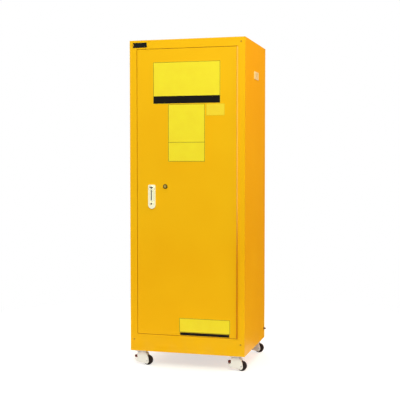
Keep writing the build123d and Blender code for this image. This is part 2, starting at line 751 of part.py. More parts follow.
def handle_spindle():
    """A shaft through the door with a forked head, in which the lever is pinned."""
    head = bar_y(PIVOT_X, PIVOT_Z, HEAD_RADIUS, (LEVER_FRONT, LEVER_BACK))
    rim = head.edges().filter_by(GeomType.CIRCLE).sort_by(Axis.Y)[0]
    head = chamfer(rim, LEVER_EDGE)
    slot_top = LEVER_PIN_Z + LEVER_THICK / 2 + TONGUE_FREE
    slot_zs = (PIVOT_Z - HEAD_RADIUS - OVERRUN, slot_top)
    slot = block(around(PIVOT_X, TONGUE_WIDTH), (LEVER_FRONT - OVERRUN, LEVER_BACK), slot_zs)
    shaft = bar_y(PIVOT_X, PIVOT_Z, SPINDLE_RADIUS, (LEVER_BACK, ROD_BACK + SPINDLE_BACK_REACH))
    bore_xs = around(PIVOT_X, 2 * HEAD_RADIUS + OVERRUN)
    bore = bar_x(LEVER_PIN_Y, LEVER_PIN_Z, LEVER_PIN_RADIUS + PIN_FREE, bore_xs)
    return head - slot + shaft - bore


def lever_pin():
    half = (HEAD_RADIUS ** 2 - LEVER_PIN_DROP ** 2) ** 0.5 - LEVER_EDGE
    return bar_x(LEVER_PIN_Y, LEVER_PIN_Z, LEVER_PIN_RADIUS, (PIVOT_X - half, PIVOT_X + half))


def grip_lever():
    """A grooved grip that lifts on its pin at the top; its foot is an arc about the spindle."""
    ys = (LEVER_FRONT, LEVER_BACK)
    grip = block(around(PIVOT_X, LEVER_WIDTH), ys, (LEVER_END - OVERRUN, LEVER_TOP))
    grip &= bar_y(PIVOT_X, PIVOT_Z, PIVOT_Z - LEVER_END, ys)
    grip = chamfer(grip.faces().sort_by(Axis.Y)[0].edges(), LEVER_EDGE)
    groove_zs = shrink((LEVER_END, LEVER_TOP), LEVER_GROOVE_INSET)
    groove_ys = (LEVER_FRONT - OVERRUN, LEVER_FRONT + LEVER_GROOVE_DEPTH)
    grip -= block(around(PIVOT_X, LEVER_GROOVE), groove_ys, groove_zs)
    tongue_xs = around(PIVOT_X, TONGUE_WIDTH - 2 * TONGUE_FREE)
    tongue = block(tongue_xs, ys, (LEVER_TOP, LEVER_PIN_Z))
    eye = bar_x(LEVER_PIN_Y, LEVER_PIN_Z, LEVER_THICK / 2, tongue_xs)
    bore = bar_x(LEVER_PIN_Y, LEVER_PIN_Z, LEVER_PIN_RADIUS + PIN_FREE, shrink(tongue_xs, -OVERRUN))
    return grip + tongue + eye - bore


def lock_plug(x, z, radius, front):
    """A key barrel with a key slot and a cam that hangs down when unlocked."""
    plug = bar_y(x, z, radius, (front - PLUG_PROUD, ROD_FRONT))
    slot_ys = (front - PLUG_PROUD - OVERRUN, front + KEY_SLOT_DEPTH)
    plug -= block(around(x, KEY_SLOT_WIDTH), slot_ys, around(z, KEY_SLOT_HEIGHT))
    cam_ys = (ROD_FRONT, ROD_FRONT + CAM_THICK)
    cam = block(around(x, CAM_WIDTH), cam_ys, (z - CAM_LENGTH, z))
    return plug + cam + bar_y(x, z, radius, cam_ys)


def key_plug():
    return lock_plug(PIVOT_X, KEY_Z, KEY_PLUG_RADIUS, LEVER_FRONT)


def round_lock_plug():
    return lock_plug(ROUND_LOCK_X, ROUND_LOCK_Z, ROUND_PLUG_RADIUS, FRONT - ROUND_LOCK_FLANGE)


def round_lock_barrel():
    flange_ys = (FRONT - ROUND_LOCK_FLANGE, FRONT)
    flange = bar_y(ROUND_LOCK_X, ROUND_LOCK_Z, ROUND_LOCK_FLANGE_RADIUS, flange_ys)
    rim = flange.edges().filter_by(GeomType.CIRCLE).sort_by(Axis.Y)[0]
    flange = fillet(rim, ROUND_LOCK_FLANGE / 2)
    body_ys = (FRONT, FRONT + ROUND_LOCK_BODY_DEPTH)
    body = bar_y(ROUND_LOCK_X, ROUND_LOCK_Z, ROUND_LOCK_BODY_RADIUS, body_ys)
    through = (FRONT - ROUND_LOCK_FLANGE - OVERRUN, FRONT + ROUND_LOCK_BODY_DEPTH + OVERRUN)
    return flange + body - bar_y(ROUND_LOCK_X, ROUND_LOCK_Z, ROUND_PLUG_RADIUS + PIN_FREE, through)


# Latch rods

def tooth_half_width(out):
    """Half the width of a rack tooth at a distance out from the pitch line."""
    return (TOOTH_PITCH / 2 - TOOTH_BACKLASH) / 2 - out * tan(radians(PRESSURE_ANGLE))


def drive_pinion():
    root = PINION_RADIUS - TOOTH_DEDENDUM
    half = (TOOTH_PITCH / 2 - TOOTH_BACKLASH) / 2
    outline = Circle(root)
    for number in range(PINION_TEETH):
        tooth = Polygon(
            (root - TOOTH_ADDENDUM, half * TOOTH_ROOT_SHARE),
            (root - TOOTH_ADDENDUM, -half * TOOTH_ROOT_SHARE),
            (PINION_RADIUS, -half),
            (PINION_RADIUS + TOOTH_ADDENDUM, -half * TOOTH_TIP_SHARE),
            (PINION_RADIUS + TOOTH_ADDENDUM, half * TOOTH_TIP_SHARE),
            (PINION_RADIUS, half),
            align=None,
        )
        outline += Rot(0, 0, number * 360 / PINION_TEETH) * tooth
    outline -= Circle(SPINDLE_RADIUS + PIN_FREE)
    gear = extrude(outline, ROD_THICK)
    return Pos(PIVOT_X, ROD_BACK, PIVOT_Z) * Rot(90, 0, 0) * gear


def rack_teeth(toward):
    """Teeth of a rack beside the pinion; toward is +1 where they point to +X."""
    pitch_x = PIVOT_X - toward * PINION_RADIUS
    low = PIVOT_Z - RACK_LENGTH * (1 - RACK_ABOVE_SHARE)
    high = PIVOT_Z + RACK_LENGTH * RACK_ABOVE_SHARE
    teeth = []
    for number in range(-PINION_TEETH, PINION_TEETH):
        z = PIVOT_Z + (number + 0.5) * TOOTH_PITCH
        if not low < z < high:
            continue
        tip, root = tooth_half_width(TOOTH_ADDENDUM), tooth_half_width(-TOOTH_DEDENDUM)
        tip_x = pitch_x + toward * TOOTH_ADDENDUM
        root_x = pitch_x - toward * TOOTH_DEDENDUM
        points = [(root_x, z - root), (tip_x, z - tip), (tip_x, z + tip), (root_x, z + root)]
        profile = Plane.XZ.offset(-ROD_FRONT) * make_face(Polyline(*points, close=True))
        teeth.append(extrude(profile, -ROD_THICK))
    return teeth


def cam_notches(edge_x, toward, z):
    """Notches in an edge for a lock's cam, with the rods drawn in and run out."""
    deep = CAM_BITE + NOTCH_FREE
    xs = (edge_x - OVERRUN, edge_x + deep) if toward > 0 else (edge_x - deep, edge_x + OVERRUN)
    ys = (ROD_FRONT - OVERRUN, ROD_BACK + OVERRUN)
    zs = (z - NOTCH_RUN_IN, z + CAM_WIDTH / 2 + NOTCH_FREE)
    return [block(xs, ys, (zs[0] + shift, zs[1] + shift)) for shift in (0, ROD_TRAVEL)]


def upper_rod():
    low = PIVOT_Z - RACK_LENGTH * RACK_ABOVE_SHARE
    bar = block(UPPER_ROD_X, (ROD_FRONT, ROD_BACK), (low, DOOR_TOP - ROD_END_INSET))
    return bar + rack_teeth(1)


def lower_rod():
    """The lower rod, notched for the key's cam, with an arm that reaches the round lock."""
    ys = (ROD_FRONT, ROD_BACK)
    arm_edge = ROUND_LOCK_X - ROD_ROOT
    arm_low = ROUND_LOCK_Z - LOCK_ARM_HEIGHT * LOCK_ARM_BELOW_SHARE
    arm_zs = (arm_low, arm_low + LOCK_ARM_HEIGHT)
    bar = block(LOWER_ROD_X, ys, (DOOR_BOTTOM + ROD_END_INSET, arm_zs[1]))
    arm = block((LOWER_ROD_X[0], arm_edge), ys, arm_zs)
    rod = bar + arm + rack_teeth(-1)
    rod -= cam_notches(arm_edge, -1, ROUND_LOCK_Z)
    return rod - cam_notches(LOWER_ROD_X[0], 1, KEY_Z)


def rod_guides():
    """Blocks on the inside of the door's skin that each rod slides through."""
    upper = [PIVOT_Z + share * (DOOR_TOP - PIVOT_Z) for share in UPPER_GUIDE_SHARES]
    lower = [PIVOT_Z - share * (PIVOT_Z - DOOR_BOTTOM) for share in LOWER_GUIDE_SHARES]
    guides = []
    for rod_xs, places in ((UPPER_ROD_X, upper), (LOWER_ROD_X, lower)):
        for place in places:
            zs = around(place, GUIDE_HEIGHT)
            body = block(shrink(rod_xs, -GUIDE_WALL), (DOOR_INSIDE, ROD_BACK + GUIDE_BACK), zs)
            guides.append(body - rod_hole(rod_xs, shrink(zs, -OVERRUN)))
    return group(guides)


# Vent and ground terminal

def vent_hole():
    """The vent's hole through both walls, as spans along Y and Z."""
    return around(VENT_PLACE_Y, BUNG_LENGTH), around(VENT_Z, BUNG_HEIGHT)


def vent_cover():
    ys, zs = around(VENT_PLACE_Y, VENT_LENGTH), around(VENT_Z, VENT_HEIGHT)
    plate = block((RIGHT, RIGHT + VENT_THICK), ys, zs)
    plate = fillet(plate.edges().filter_by(Axis.X), VENT_CORNER)
    first = VENT_Z - (VENT_SLOTS - 1) / 2 * VENT_SLOT_PITCH
    for number in range(VENT_SLOTS):
        slot_zs = around(first + number * VENT_SLOT_PITCH, VENT_SLOT_HEIGHT)
        slot_xs = (RIGHT - OVERRUN, RIGHT + VENT_THICK + OVERRUN)
        plate -= block(slot_xs, around(VENT_PLACE_Y, VENT_SLOT_LENGTH), slot_zs)
    return plate


def vent_bung():
    """The stopper that closes the vent through both walls."""
    ys, zs = vent_hole()
    return block((LINER_RIGHT, RIGHT), shrink(ys, BUNG_FREE), shrink(zs, BUNG_FREE))


def stud_place():
    """The ground stud's place on the right side, as y and z."""
    return REAR - STUD_REAR_OFFSET, BOTTOM + STUD_RISE


def ground_stud():
    """A stud through the wall; its tip beyond the outer nut takes the ground lead."""
    y, z = stud_place()
    shoulder = RIGHT + NUT_THICK
    shank = bar_x(y, z, STUD_RADIUS, (RIGHT - SKIN - STUD_INSIDE, shoulder))
    return shank + bar_x(y, z, STUD_TIP_RADIUS, (shoulder, RIGHT + STUD_OUTSIDE))


def ground_nuts():
    y, z = stud_place()
    nuts = []
    for low in (RIGHT - SKIN - NUT_THICK, RIGHT):
        profile = RegularPolygon(NUT_RADIUS, 6) - Circle(STUD_RADIUS + PIN_FREE)
        nuts.append(Pos(low, y, z) * Rot(0, 90, 0) * extrude(profile, NUT_THICK))
    return group(nuts)


# Casters

def caster_bolt_places():
    half = CASTER_BOLT_PITCH / 2
    return [(x + i * half, y + j * half) for x, y in CORNERS.values() for i in (-1, 1) for j in (-1, 1)]


def caster_plates():
    """Top plates, each with the kingpin that its caster turns on."""
    plates = []
    for x, y in CORNERS.values():
        low = BOTTOM - CASTER_PLATE_THICK
        plate = block(around(x, CASTER_PLATE), around(y, CASTER_PLATE), (low, BOTTOM))
        plates.append(plate + bar_z(x, y, KINGPIN_RADIUS, (low - KINGPIN_LENGTH, low)))
    holes = [
        bar_z(x, y, CASTER_BOLT_RADIUS, (BOTTOM - CASTER_PLATE_THICK - OVERRUN, BOTTOM + OVERRUN))
        for x, y in caster_bolt_places()
    ]
    return group([plate - holes for plate in plates])


def caster_bolts():
    """Bolts up through plate and base, with a head below and a nut inside."""
    low = BOTTOM - CASTER_PLATE_THICK
    inside = BOTTOM + BASE_SHEET
    hexagon = RegularPolygon(CASTER_BOLT_HEAD_RADIUS, 6)
    bolts = []
    for x, y in caster_bolt_places():
        head = Pos(x, y, low - CASTER_BOLT_HEAD) * extrude(hexagon, CASTER_BOLT_HEAD)
        nut = Pos(x, y, inside) * extrude(hexagon, CASTER_NUT)
        bolts.append(head + nut + bar_z(x, y, CASTER_BOLT_RADIUS, (low, inside)))
    return group(bolts)


def hood_outline():
    """Side view of a caster's hood: cheeks down beside the wheel, a nose with a ledge for the pedal."""
    neck = HOOD_TOP - HOOD_NECK
    shoulder, top_end = (-HOOD_LEDGE_BACK, neck), (HOOD_NECK_RADIUS, neck)
    tail_high = (HOOD_TAIL, WHEEL_RADIUS)
    tail_low = (HOOD_TAIL, (WHEEL_RADIUS + HOOD_CHEEK_BOTTOM) / 2)
    cheek = (CASTER_TRAIL, HOOD_CHEEK_BOTTOM)
    chin, nose = (-HOOD_CHIN_BACK, HOOD_CHIN_HEIGHT), (-HOOD_NOSE, HOOD_NOSE_HEIGHT)
    ledge = (-HOOD_LEDGE_BACK, HOOD_LEDGE_HEIGHT)
    over_wheel = (HOOD_TAIL - HOOD_CHEEK_ROUND, (neck + WHEEL_RADIUS) / 2)
    back = ThreePointArc(top_end, over_wheel, tail_high)
    rest = Polyline(tail_high, tail_low, cheek, chin, nose, ledge, shoulder, top_end)
    face = make_face(Curve() + [back, rest])
    return fillet(face.vertices().sort_by_distance((*chin, 0))[0], HOOD_CHIN_ROUND)


def caster_hood(corner):
    """White hood with the wheel's well, the kingpin's bore and, in front, room for the brake pedal."""
    x, y = CORNERS[corner]
    body = Plane.XZ * extrude(hood_outline(), HOOD_WIDTH / 2, both=True)
    faces = body.faces().filter_by(Axis.Y)
    body = fillet([edge for face in faces for edge in face.edges()], HOOD_EDGE)
    body += bar_z(0, 0, HOOD_NECK_RADIUS * NECK_TOP_SHARE, (HOOD_TOP - HOOD_NECK - OVERRUN, HOOD_TOP))
    half_well = HOOD_WELL_WIDTH / 2
    body -= bar_y(CASTER_TRAIL, WHEEL_RADIUS, WHEEL_RADIUS + HOOD_WELL_FREE, (-half_well, half_well))
    kingpin_low = BOTTOM - CASTER_PLATE_THICK - KINGPIN_LENGTH
    body -= bar_z(0, 0, KINGPIN_RADIUS + PIN_FREE, (kingpin_low - HOOD_TOP_FREE, HOOD_TOP + OVERRUN))
    body -= bar_y(CASTER_TRAIL, WHEEL_RADIUS, AXLE_RADIUS, around(0, HOOD_WIDTH + OVERRUN))
    if corner in BRAKED:
        room = PEDAL_THICK / 2 + PEDAL_ROOM
        xs = (-HOOD_NOSE - OVERRUN, -PEDAL_PIVOT_BACK + PEDAL_INSIDE + PEDAL_ROOM)
        ys = around(0, PEDAL_WIDTH + 2 * PEDAL_SIDE_ROOM)
        body -= block(xs, ys, (PEDAL_PIVOT_HEIGHT - room, PEDAL_PIVOT_HEIGHT + room))
        bore = PEDAL_PIN_RADIUS + PIN_FREE
        body -= bar_y(-PEDAL_PIVOT_BACK, PEDAL_PIVOT_HEIGHT, bore, around(0, HOOD_WIDTH - 2 * HOOD_EDGE))
    return Pos(x, y, 0) * body


def caster_wheel(corner):
    x, y = CORNERS[corner]
    half = WHEEL_WIDTH / 2
    wheel = bar_y(CASTER_TRAIL, WHEEL_RADIUS, WHEEL_RADIUS, (-half, half))
    wheel = fillet(wheel.edges().filter_by(GeomType.CIRCLE), WHEEL_ROUND)
    for side in (-1, 1):
        dish = sorted((side * (half - WHEEL_HUB_DISH), side * (half + OVERRUN)))
        wheel -= bar_y(CASTER_TRAIL, WHEEL_RADIUS, WHEEL_HUB_RADIUS, dish)
        boss = sorted((0, side * half))
        wheel += bar_y(CASTER_TRAIL, WHEEL_RADIUS, AXLE_HEAD_RADIUS + WHEEL_HUB_DISH, boss)
    bore_ys = (-half - OVERRUN, half + OVERRUN)
    wheel -= bar_y(CASTER_TRAIL, WHEEL_RADIUS, AXLE_RADIUS + WHEEL_BORE_FREE, bore_ys)
    return Pos(x, y, 0) * wheel


def caster_axle(corner):
    x, y = CORNERS[corner]
    half = HOOD_WIDTH / 2
    axle = bar_y(CASTER_TRAIL, WHEEL_RADIUS, AXLE_RADIUS, (-half, half))
    for side in (-1, 1):
        head = sorted((side * half, side * (half + AXLE_HEAD)))
        axle += bar_y(CASTER_TRAIL, WHEEL_RADIUS, AXLE_HEAD_RADIUS, head)
    return Pos(x, y, 0) * axle


def brake_pedal(corner):
    """A foot pedal on its own cross pin in the hood's nose."""
    x, y = CORNERS[corner]
    xs = (-HOOD_NOSE, -PEDAL_PIVOT_BACK + PEDAL_INSIDE)
    pedal = block(xs, around(0, PEDAL_WIDTH), around(PEDAL_PIVOT_HEIGHT, PEDAL_THICK))
    pedal = fillet(pedal.edges().filter_by(Axis.Y), PEDAL_EDGE)
    pin_ys = around(0, HOOD_WIDTH - 3 * HOOD_EDGE)
    pin = bar_y(-PEDAL_PIVOT_BACK, PEDAL_PIVOT_HEIGHT, PEDAL_PIN_RADIUS, pin_ys)
    return Pos(x, y, 0) * (pedal + pin)


def all_nodes():
    nodes = {
        "left_side_panel": side_panel(),
        "right_side_panel": right_side_panel(),
        "rear_panel": rear_panel(),
        "top_panel": top_panel(),
        "base_panel": base_panel(),
        "top_rail": top_rail(),
        "bottom_rail": bottom_rail(),
        "rod_keepers": rod_keepers(),
        "frame_screws": frame_screws(),
        "wall_spacers": wall_spacers(),
        "floor_bearers": floor_bearers(),
        "liner_left": liner_left(),
        "liner_right": liner_right(),
        "liner_rear": liner_rear(),
        "liner_ceiling": liner_ceiling(),
        "liner_sump": liner_sump(),
        "door_gasket": door_gasket(),
        "shelf_uprights": shelf_uprights(),
        "middle_shelf": shelf(MIDDLE_SHELF_SHARE),
        "upper_shelf": shelf(UPPER_SHELF_SHARE),
        "shelf_clips": shelf_clips(),
        "door_outer_skin": door_outer_skin(),
        "door_inner_pan": door_inner_pan(),
        "door_stiffeners": door_stiffeners(),
        "lock_cover": lock_cover(),
        "lock_cover_screws": lock_cover_screws(),
        "hinge_frame_leaf": hinge_frame_leaf(),
        "hinge_door_leaf": hinge_door_leaf(),
        "hinge_pin": hinge_pin(),
        "handle_housing": handle_housing(),
        "handle_spindle": handle_spindle(),
        "drive_pinion": drive_pinion(),
        "lever_pin": lever_pin(),
        "grip_lever": grip_lever(),
        "key_plug": key_plug(),
        "round_lock_barrel": round_lock_barrel(),
        "round_lock_plug": round_lock_plug(),
        "upper_rod": upper_rod(),
        "lower_rod": lower_rod(),
        "rod_guides": rod_guides(),
        "vent_cover": vent_cover(),
        "vent_bung": vent_bung(),
        "ground_stud": ground_stud(),
        "ground_nuts": ground_nuts(),
        "caster_plates": caster_plates(),
        "caster_bolts": caster_bolts(),
    }
    for corner in CORNERS:
        nodes["caster_hood_" + corner] = caster_hood(corner)
        nodes["caster_wheel_" + corner] = caster_wheel(corner)
        nodes["caster_axle_" + corner] = caster_axle(corner)
    for corner in BRAKED:
        nodes["brake_pedal_" + corner] = brake_pedal(corner)
    return nodes


os.makedirs("parts", exist_ok=True)
for name, shape in all_nodes().items():
    export_step(shape, f"parts/{name}.step")
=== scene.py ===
import json
import math

import bpy
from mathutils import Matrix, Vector


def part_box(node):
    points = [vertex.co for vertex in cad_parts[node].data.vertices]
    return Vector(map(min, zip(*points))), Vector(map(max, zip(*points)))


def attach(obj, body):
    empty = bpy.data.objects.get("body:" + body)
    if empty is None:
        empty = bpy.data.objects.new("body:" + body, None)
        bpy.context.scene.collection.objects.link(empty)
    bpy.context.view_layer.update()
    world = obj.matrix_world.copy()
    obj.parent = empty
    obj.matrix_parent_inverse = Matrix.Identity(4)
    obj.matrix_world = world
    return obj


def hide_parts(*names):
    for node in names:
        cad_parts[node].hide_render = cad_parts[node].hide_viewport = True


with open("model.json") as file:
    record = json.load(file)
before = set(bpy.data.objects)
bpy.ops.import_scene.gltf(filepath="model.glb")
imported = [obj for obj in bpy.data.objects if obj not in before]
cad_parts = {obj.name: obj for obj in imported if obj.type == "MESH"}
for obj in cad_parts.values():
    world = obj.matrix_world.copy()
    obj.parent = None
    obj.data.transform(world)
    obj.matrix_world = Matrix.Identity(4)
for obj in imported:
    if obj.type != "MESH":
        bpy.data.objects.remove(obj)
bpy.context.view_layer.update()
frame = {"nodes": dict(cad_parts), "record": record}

# A yellow steel cabinet for chemicals on casters, in metres, in the frame of its CAD part.

# Camera: in front of the cabinet and to its right, tilted slightly down
CAMERA_PLACE = (1.316, -4.743, 1.144)
CAMERA_AIM = (0.0, 0.0, 0.916)
LENS = 77.1
SENSOR = 36.0
SIGHT = 60.0

# Studio lamps, each as place, aim, width, height, watts and colour
LAMPS = {
    "key_softbox": ((0.9, -3.3, 3.5), (0.1, -0.2, 1.75), 2.0, 2.0, 105.0, (0.87, 1.0, 0.84)),
    "low_softbox": ((-2.8, -2.9, 0.8), (0.0, -0.2, 0.5), 1.6, 1.2, 20.0, (1.0, 0.62, 0.40)),
    "side_softbox": ((3.2, -0.3, 2.8), (0.3, 0.0, 1.65), 1.8, 2.0, 80.0, (1.0, 0.60, 0.36)),
    "top_softbox": ((0.2, -0.4, 4.2), (0.0, 0.0, 1.6), 2.2, 2.2, 25.0, (1.0, 1.0, 1.0)),
    "rear_softbox": ((-1.6, 3.6, 2.4), (0.0, 0.2, 1.0), 2.0, 2.0, 70.0, (1.0, 0.97, 0.92)),
    "left_softbox": ((-3.6, 0.6, 2.0), (-0.3, 0.0, 1.0), 1.8, 2.2, 48.0, (1.0, 0.97, 0.92)),
}

# Studio floor, white surroundings and a dark card for the right side's reflections
FLOOR_RADIUS = 14.0
FLOOR_SIDES = 96
FLOOR_TONES = ((0.54, 0.53, 0.52), (0.56, 0.55, 0.54))
FLOOR_CLOUD = 3.0
FLOOR_GLOW = 0.60
FLOOR_FADE = (0.9, 2.2)
WHITE = (1.0, 1.0, 1.0)
WORLD_TINT = (1.0, 0.985, 0.96)
WORLD_LIGHT = 0.48
FLAG_PLACE = (1.03, 0.34, 1.31)
FLAG_WIDTH = 1.4
FLAG_HEIGHT = 2.6

# Bare signs and plates on the front, each as left, right, low and high edge
NAMEPLATE = (-0.306, -0.226, 1.760, 1.787)
UPPER_SIGN = (-0.189, 0.189, 1.452, 1.678)
LOWER_SIGN = (-0.104, 0.104, 1.137, 1.449)
STICKER = (0.110, 0.214, 1.384, 1.449)
FOOT_LABEL = (-0.042, 0.245, 0.2015, 0.280)
FOOT_BAND = (-0.037, 0.241, 0.1855, 0.2005)
UPPER_BAND_TOP = 1.4935
LOWER_DIVIDER = 1.242
SIGN_THICK = 0.0006
SIGN_GAP = 0.00005
KEYLINE_INSET = 0.0008
KEYLINE_WIDTH = 0.0022
DIVIDER_HALF = 0.0012
SIGN_CORNER = 0.003
NAMEPLATE_THICK = 0.0012
NAMEPLATE_RIM = 0.0015
NAMEPLATE_SINK = 0.0004
NAMEPLATE_CORNER = 0.002

# Screw heads with a cross recess
FRAME_SCREW_RADIUS = 0.0045
FRAME_SCREW_RISE = 0.0020
COVER_SCREW_RADIUS = 0.0035
COVER_SCREW_RISE = 0.0018
CROSS_LENGTH_SHARE = 0.58
CROSS_WIDTH_SHARE = 0.15
CROSS_DEPTH_SHARE = 0.45
SCREW_DOME_SHARE = 0.3
SCREW_SIDES = 40
SCREW_SMOOTH = math.radians(30)
# Half the height of a rod guide, whose middle takes the screw
GUIDE_HALF = 0.008

# Beads of sealant in the liner's corners
SEAM_WIDTH = 0.0024
SEAM_ROUND_SHARE = 0.6
SEAM_TOUCH = 0.0001

# Painted shade and dark reflection on the handle: a dark strip in the grip's groove, a line that
# carries it on over the tongue, and a stem and bar on the head, the bar painted shade in the gap at its top
GROOVE_SHADE_WIDTH = 0.0058
GROOVE_SHADE_LOW = 0.9242
GROOVE_SHADE_HIGH = 0.9668
GROOVE_SHADE_FRONT = -0.2880
GROOVE_SHADE_BACK = -0.28735
GROOVE_SHADE_RADIUS = 0.0004
LINE_THICK = 0.0003
LINE_SINK = 0.0001
LINE_LOW = 0.9672
LINE_HIGH = 0.9812
STEM_LOW = 0.9868
STEM_HIGH = 0.9928
BAR_HALF_WIDTH = 0.0105
BAR_LOW = 0.9930
BAR_HIGH = 0.9992
BAR_CORNER = 0.0022

# Rounding steps and angles that the modelling shares
ROUND_STEPS = 3
FINE_ROUND_STEPS = 4
SMOOTH_ANGLE = math.radians(35)
QUARTER_TURN = math.radians(90)
FRONT_NORMAL = -0.9

# Shared effects of the finishes: noise detail, and the band of a value that a mask runs over
GRAIN_DETAIL = 3.0
GRAIN_BAND = (0.3, 0.7)
EDGE_SAMPLES = 6
EDGE_BAND = (0.99, 0.80)
EDGE_DETAIL = 4.0
EDGE_PATCHES = (0.42, 0.62)
DUST_BAND = (0.5, 1.0)
DUST_SCALE = 14.0
DUST_DETAIL = 5.0
DUST_PATCHES = (0.35, 0.75)
CLOUD_DETAIL = 2.0
CLOUD_BAND = (0.3, 0.7)

# Values of each kind of finish
PAINT_CLOUD = 2.2
PAINT_EDGE = {"Width": 0.0005, "Breakup": 45.0}
PAINT_GRAIN = {"Scale": 420.0, "Spread": 0.05}
PAINT_DUST = (0.62, 0.52, 0.38)
PAINT_DUST_REACH = 0.22
# Heights over which a darker foot of painted shade fades out
PAINTED_SHADE_FADE = (0.55, 1.0)
STEEL_EDGE = {"Width": 0.0004, "Breakup": 80.0}
STEEL_EDGE_TONE = (0.9, 0.9, 0.9)
STEEL_HEIGHT = 0.00002
ZINC_CRYSTAL = 160.0
ZINC_TONES = ((0.46, 0.47, 0.47), (0.66, 0.67, 0.66))
ZINC_GRAIN = {"Scale": 300.0, "Roughness": 0.38, "Spread": 0.08, "Height": 0.00003}
MOULD_CLOUD = 30.0
MOULD_GRAIN = {"Scale": 700.0, "Spread": 0.07}
MOULD_DUST = (0.42, 0.38, 0.33)
MOULD_DUST_REACH = 0.06
PRINT_CLOUD = 18.0
PRINT_GRAIN = {"Scale": 900.0, "Roughness": 0.3, "Spread": 0.04, "Height": 0.00001}

FLOAT, VECTOR = "NodeSocketFloat", "NodeSocketVector"
GROUND, KEYLINE, BAND = range(3)


def feed(tree, socket, value):
    """Links a socket to another one, or sets it to a plain value."""
    if isinstance(value, bpy.types.NodeSocket):
        tree.links.new(value, socket)
    elif socket.type == "RGBA":
        socket.default_value = (*value, 1.0)
    else:
        socket.default_value = value


def node(tree, kind, inputs=None, **settings):
    """A shader node with its settings, and its sockets set or linked."""
    made = tree.nodes.new(kind)
    for name, value in settings.items():
        setattr(made, name, value)
    for name, value in (inputs or {}).items():
        feed(tree, made.inputs[name], value)
    return made


def maths(tree, operation, first, second):
    return node(tree, "ShaderNodeMath", {0: first, 1: second}, operation=operation).outputs[0]


def ramp(tree, value, band, ends=(0.0, 1.0), **settings):
    """From one end to the other as a value runs over a band."""
    sockets = {"Value": value, "From Min": band[0], "From Max": band[1], "To Min": ends[0], "To Max": ends[1]}
    return node(tree, "ShaderNodeMapRange", sockets, **settings).outputs["Result"]


def noise(tree, place, scale, detail):
    sockets = {"Vector": place, "Scale": scale, "Detail": detail}
    return node(tree, "ShaderNodeTexNoise", sockets).outputs["Fac"]


def height_of(tree, vector):
    return node(tree, "ShaderNodeSeparateXYZ", {0: vector}).outputs["Z"]


def blend_colours(tree, share, first, second):
    """A colour between two, by a share."""
    made = node(tree, "ShaderNodeMix", data_type="RGBA")
    for name, value in (("Factor_Float", share), ("A_Color", first), ("B_Color", second)):
        feed(tree, next(socket for socket in made.inputs if socket.identifier == name), value)
    return next(socket for socket in made.outputs if socket.identifier == "Result_Color")


def new_group(name, inputs, outputs):
    """An empty shader group with number and vector sockets."""
    tree = bpy.data.node_groups.new(name, "ShaderNodeTree")
    for label, kind in inputs.items():
        tree.interface.new_socket(label, in_out="INPUT", socket_type=kind)
    for label, kind in outputs.items():
        tree.interface.new_socket(label, in_out="OUTPUT", socket_type=kind)
    return tree, tree.nodes.new("NodeGroupInput").outputs, tree.nodes.new("NodeGroupOutput").inputs


def make_grain_group():
    """Fine grain: a roughness that varies, a normal with small bumps, and the grain's own tone."""
    sockets = {"Vector": VECTOR, "Scale": FLOAT, "Roughness": FLOAT, "Spread": FLOAT, "Height": FLOAT}
    results = {"Roughness": FLOAT, "Normal": VECTOR, "Tone": FLOAT}
    tree, given, put = new_group("surface_grain", sockets, results)
    fine = noise(tree, given["Vector"], given["Scale"], GRAIN_DETAIL)
    low = maths(tree, "SUBTRACT", given["Roughness"], given["Spread"])
    high = maths(tree, "ADD", given["Roughness"], given["Spread"])
    rough = ramp(tree, fine, GRAIN_BAND, (low, high))
    bump = node(tree, "ShaderNodeBump", {"Height": fine, "Distance": given["Height"]})
    tree.links.new(rough, put["Roughness"])
    tree.links.new(bump.outputs["Normal"], put["Normal"])
    tree.links.new(fine, put["Tone"])
    return tree


def make_edge_group():
    """Worn edges: a mask along sharp edges, broken up by noise."""
    sockets = {"Vector": VECTOR, "Width": FLOAT, "Breakup": FLOAT}
    tree, given, put = new_group("edge_wear", sockets, {"Mask": FLOAT})
    rounded = node(tree, "ShaderNodeBevel", {"Radius": given["Width"]}, samples=EDGE_SAMPLES)
    flat = node(tree, "ShaderNodeNewGeometry")
    normals = {0: rounded.outputs["Normal"], 1: flat.outputs["True Normal"]}
    turned = node(tree, "ShaderNodeVectorMath", normals, operation="DOT_PRODUCT")
    edge = ramp(tree, turned.outputs["Value"], EDGE_BAND)
    patches = ramp(tree, noise(tree, given["Vector"], given["Breakup"], EDGE_DETAIL), EDGE_PATCHES)
    tree.links.new(maths(tree, "MULTIPLY", edge, patches), put["Mask"])
    return tree


def make_dust_group():
    """Settled dust: a mask on what faces up and low down near the floor."""
    sockets = {"Vector": VECTOR, "Reach": FLOAT, "Amount": FLOAT}
    tree, given, put = new_group("settled_dust", sockets, {"Mask": FLOAT})
    facing = height_of(tree, node(tree, "ShaderNodeNewGeometry").outputs["Normal"])
    up = ramp(tree, facing, DUST_BAND)
    near = ramp(tree, height_of(tree, given["Vector"]), (given["Reach"], 0.0))
    both = maths(tree, "MAXIMUM", up, near)
    patches = ramp(tree, noise(tree, given["Vector"], DUST_SCALE, DUST_DETAIL), DUST_PATCHES)
    soft = maths(tree, "MULTIPLY", both, patches)
    tree.links.new(maths(tree, "MULTIPLY", soft, given["Amount"]), put["Mask"])
    return tree


GRAIN = make_grain_group()
EDGES = make_edge_group()
DUST = make_dust_group()


def placed(tree, group, inputs):
    """One of the shared effects, placed in a material."""
    return node(tree, "ShaderNodeGroup", inputs, node_tree=group).outputs


def start_material(name):
    """A material's tree, its shader and the piece's own coordinates."""
    material = bpy.data.materials.new(name)
    material.use_nodes = True
    tree = material.node_tree
    tree.nodes.clear()
    shader = tree.nodes.new("ShaderNodeBsdfPrincipled")
    end = tree.nodes.new("ShaderNodeOutputMaterial")
    tree.links.new(shader.outputs["BSDF"], end.inputs["Surface"])
    place = tree.nodes.new("ShaderNodeTexCoord").outputs["Object"]
    return material, tree, shader, place


